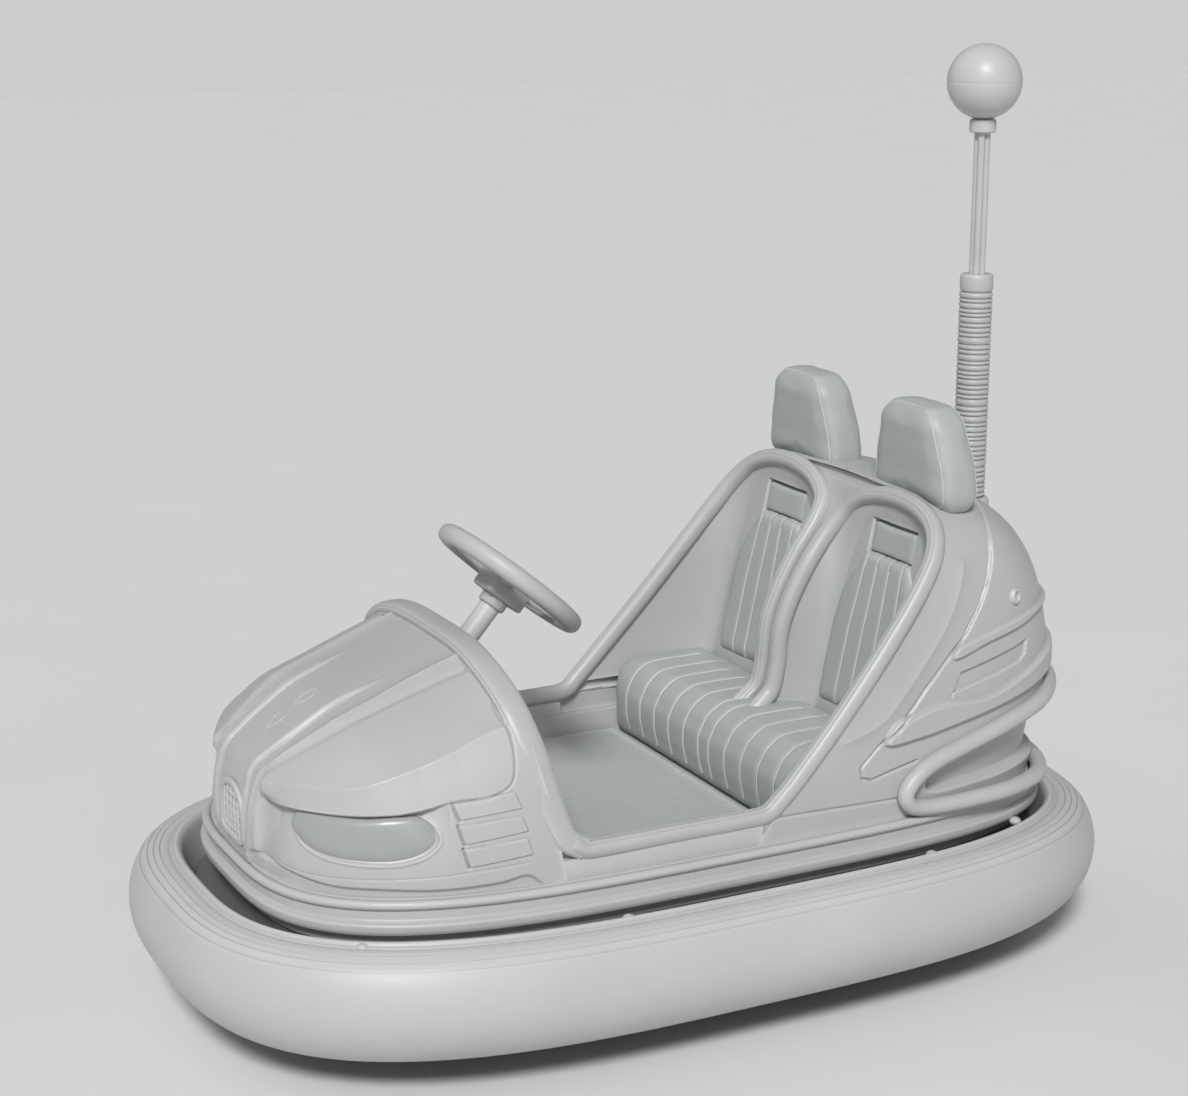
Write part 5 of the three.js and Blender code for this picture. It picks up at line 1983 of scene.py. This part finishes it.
# ------------------------------------------------------------------ steering
@dataclass
class Steering:
    """The column, and the wheel that turns on it."""

    centre: Point = (0.0, -243.0, 796.0)
    rim_radius: float = 145.0
    rim_tube: float = 18.6

    def frame(self) -> Matrix:
        """Gives the wheel's own axes: across, towards the driver, and along the column.

        Returns:
            The wheel's matrix.
        """
        axis = Vector((0.0, 0.655, 0.7556)).normalized()
        across = Vector((1.0, 0.0, 0.0))
        near = axis.cross(across)
        turn = Matrix((across, near, axis)).transposed().to_4x4()
        return Matrix.Translation(self.centre) @ turn

    def build(self) -> None:
        """Makes the column and the wheel."""
        column = np.array([(0, -655), (21, -655), (21, -300), (21, -120), (21, -66), (0, -66)])
        finished(lathe("column_tube", column, self.frame(), 48), COLUMN_PAINT, ("steering_column",))
        pieces = [self.rim(), self.hub(), self.collar()]
        pieces += [self.spoke(angle) for angle in (90.0, 210.0, 330.0)]
        finished(joined("wheel", pieces), WHEEL_GRIP, ("steering_wheel",), body="steering")

    def local(self, points: Array) -> Array:
        """Moves points from the wheel's axes to the car's."""
        return (np.column_stack([points, np.ones(len(points))]) @ np.array(self.frame()).T)[:, :3]

    def rim(self) -> bpy.types.Object:
        """Makes the rim, a little flattened.

        Returns:
            The piece.
        """
        def place(u: Array, v: Array) -> Array:
            """Wraps the ring.

            Args:
                u: share across.
                v: share along.

            Returns:
                The points.
            """
            a = 2 * np.pi * np.where(u >= 1, 0, u)
            b = 2 * np.pi * np.where(v >= 1, 0, v)
            r = self.rim_radius + self.rim_tube * power(np.cos(b), 0.96)
            h = self.rim_tube * power(np.sin(b), 0.96)
            return self.local(np.column_stack([r * np.cos(a), r * np.sin(a), h]))

        return woven("rim", 120, 32, place, degrees=70.0)

    def hub(self) -> bpy.types.Object:
        """Makes the block in the middle, with a scooped top edge.

        Returns:
            The piece.
        """
        piece = block("hub", (-38, -44, -46), (38, 44, -6), bevel=6.0, segments=5)
        apply_modifier(piece, "REMESH", mode="VOXEL", voxel_size=2.2 * MM)
        points = coordinates(piece)
        scoop = np.exp(-((points[:, 0] / 17.0) ** 2)) * np.clip((points[:, 2] + 26) / 20.0, 0, 1)
        edge = np.clip((points[:, 1] - 16) / 22.0, 0, 1)
        points[:, 2] -= 13.0 * scoop * edge
        set_coordinates(piece, self.local(points))
        smooth(piece, 45.0)
        return piece

    def collar(self) -> bpy.types.Object:
        """Makes the collar under the hub."""
        profile = np.array([(0, -42), (24, -42), (27, -44), (28, -48), (28, -59), (26.5, -63), (23, -65.6),
                           (0, -65.6)])
        return lathe("collar", profile, self.frame(), 48)

    def spoke(self, angle: float) -> bpy.types.Object:
        """Makes one spoke.

        Args:
            angle: its direction in degrees.

        Returns:
            The piece.
        """
        turn = math.radians(angle)
        out = np.array([math.cos(turn), math.sin(turn)])
        stations = [(20.0, -17.0), (60.0, -13.0), (100.0, -8.0), (134.0, -2.0)]
        points = self.local(np.array([(*(out * r), h) for r, h in stations]))
        section = rounded([(-6, -14, 5), (-6, 14, 5), (6, 14, 5), (6, -14, 5)], 5)
        axis = np.array(self.frame())[:3, 2]
        return swept("spoke", Rail([tuple(p) for p in points]), section,
                     lambda p: np.tile(axis, (len(p), 1)), step=8.0,
                     grow=lambda s: 1.25 - 0.3 * np.sin(np.pi * s))


# ------------------------------------------------------------------ running gear
@dataclass
class RunningGear:
    """The CAD solids that stay, with their own finishes."""

    kept: tuple[tuple[str, str], ...] = (
        ("bumper_rail", "chassis"), ("chassis_frame", "chassis"), ("body_skirt", "chassis"),
        ("floor_pan", "shell"),
        ("dashboard", "shell"), ("accelerator_pedal", "chassis"), ("drive_turntable", "chassis"),
        ("drive_fork", "chassis"),
        ("drive_motor", "chassis"), ("drive_hub", "chassis"), ("rear_axle_beam", "chassis"),
        ("rear_hub_left", "chassis"),
        ("rear_hub_right", "chassis"), ("drive_tyre", "tyre"), ("rear_tyre_left", "tyre"),
        ("rear_tyre_right", "tyre"),
    )

    def build(self) -> None:
        """Gives each solid its material."""
        finishes = {"chassis": CHASSIS_PAINT_AND_GAP_SHADE, "shell": SHELL, "tyre": TYRE_RUBBER}
        for name, key in self.kept:
            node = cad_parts[name]
            material = finishes[key].material()
            for place in node.material_slots:
                place.material = material
            if not node.material_slots:
                node.data.materials.append(material)
            LOG.info("%s: kept, %s", name, key)


# ------------------------------------------------------------------ studio
@dataclass
class Studio:
    """The floor, the lamps and the camera."""

    place: Point = (3.90329, -2.04508, 1.94394)
    tilt: float = 75.7893
    turn: float = 63.0766
    lens: float = 70.62
    shift: tuple[float, float] = (0.0, 0.0)
    sensor_width: float = 36.0
    floor_size: float = 60.0
    floor_roughness: float = 0.9
    floor_cloud: float = 1.5
    floor_tones: tuple[float, float] = (0.70, 0.73)
    air: tuple[float, ...] = (0.74, 0.75, 0.76, 1.0)
    air_strength: float = 0.30
    far_tone: tuple[float, ...] = (0.60, 0.605, 0.605, 1.0)

    def build(self) -> None:
        """Makes the floor, the light and the view."""
        deselect_all()
        bpy.ops.mesh.primitive_plane_add(size=self.floor_size, location=(0, 0, 0))
        floor = bpy.context.active_object
        floor.name = "studio_floor"
        floor.data.materials.append(self.floor_material())
        world = bpy.data.worlds.new("studio") if bpy.context.scene.world is None else bpy.context.scene.world
        bpy.context.scene.world = world
        world.use_nodes = True
        back = world.node_tree.nodes["Background"]
        back.inputs["Color"].default_value = self.air
        back.inputs["Strength"].default_value = self.air_strength
        self.backdrop(world)
        self.sun("key", (4.2, -2.6, 4.4), 2.75, 12.0)
        self.sun("fill", (-3.5, -3.0, 4.0), 0.35, 60.0)
        self.lamp("side", (4.2, -1.4, 1.2), 1.4, 12.0, (0.0, 0.0, 0.4))
        camera = bpy.data.cameras.new("camera")
        camera.sensor_width = self.sensor_width
        camera.lens = self.lens
        camera.shift_x, camera.shift_y = self.shift
        holder = bpy.data.objects.new("camera", camera)
        holder.location = self.place
        holder.rotation_euler = (math.radians(self.tilt), 0.0, math.radians(self.turn))
        bpy.context.scene.collection.objects.link(holder)
        bpy.context.scene.camera = holder
        bpy.context.scene.view_settings.view_transform = "Standard"

    def backdrop(self, world: bpy.types.World) -> None:
        """Shows the floor's own tone behind the floor's far edge.

        Args:
            world: the scene's world.
        """
        nodes, links = world.node_tree.nodes, world.node_tree.links
        seen = nodes.new("ShaderNodeBackground")
        seen.inputs["Color"].default_value = self.far_tone
        path = nodes.new("ShaderNodeLightPath")
        mix = nodes.new("ShaderNodeMixShader")
        links.new(path.outputs["Is Camera Ray"], mix.inputs["Fac"])
        links.new(nodes["Background"].outputs["Background"], mix.inputs[1])
        links.new(seen.outputs["Background"], mix.inputs[2])
        links.new(mix.outputs["Shader"], nodes["World Output"].inputs["Surface"])

    def floor_material(self) -> bpy.types.Material:
        """Makes the pale matt floor.

        Returns:
            The material.
        """
        mat = bpy.data.materials.new("studio_floor")
        mat.use_nodes = True
        nodes, links = mat.node_tree.nodes, mat.node_tree.links
        shader = nodes["Principled BSDF"]
        shader.inputs["Roughness"].default_value = self.floor_roughness
        noise = nodes.new("ShaderNodeTexNoise")
        noise.inputs["Scale"].default_value = self.floor_cloud
        place = nodes.new("ShaderNodeTexCoord")
        links.new(place.outputs["Object"], noise.inputs["Vector"])
        ramp = nodes.new("ShaderNodeMapRange")
        ramp.inputs["To Min"].default_value, ramp.inputs["To Max"].default_value = self.floor_tones
        links.new(noise.outputs["Fac"], ramp.inputs["Value"])
        links.new(ramp.outputs["Result"], shader.inputs["Base Color"])
        return mat

    def sun(self, name: str, towards: Point, strength: float, spread: float) -> None:
        """Hangs a broad even light.

        Args:
            name: its name.
            towards: the direction that it comes from.
            strength: its strength.
            spread: how soft its shadows are, in degrees.
        """
        light = bpy.data.lights.new(name, "SUN")
        light.energy = strength
        light.angle = math.radians(spread)
        holder = bpy.data.objects.new(name, light)
        holder.location = towards
        holder.rotation_euler = Vector(towards).to_track_quat("Z", "Y").to_euler()
        bpy.context.scene.collection.objects.link(holder)

    def lamp(self, name: str, place: Point, size: float, power_watts: float, aim: Point) -> None:
        """Hangs a soft square lamp.

        Args:
            name: its name.
            place: where it hangs, in metres.
            size: its side.
            power_watts: its power.
            aim: the point that it faces.
        """
        light = bpy.data.lights.new(name, "AREA")
        light.shape = "SQUARE"
        light.size = size
        light.energy = power_watts
        holder = bpy.data.objects.new(name, light)
        holder.location = place
        holder.rotation_euler = (Vector(aim) - Vector(place)).to_track_quat("-Z", "Y").to_euler()
        bpy.context.scene.collection.objects.link(holder)


def main() -> None:
    """Builds the studio and every sub-assembly in order."""
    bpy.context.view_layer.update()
    Studio().build()
    for part in (Bumper(), Tub(), Hood(), Trim(), Cockpit(), Seats(), RearBody(), Mast(), Steering(), RunningGear()):
        LOG.info("-- %s", type(part).__name__)
        part.build()
    deselect_all()


if __name__ == "__main__":
    main()
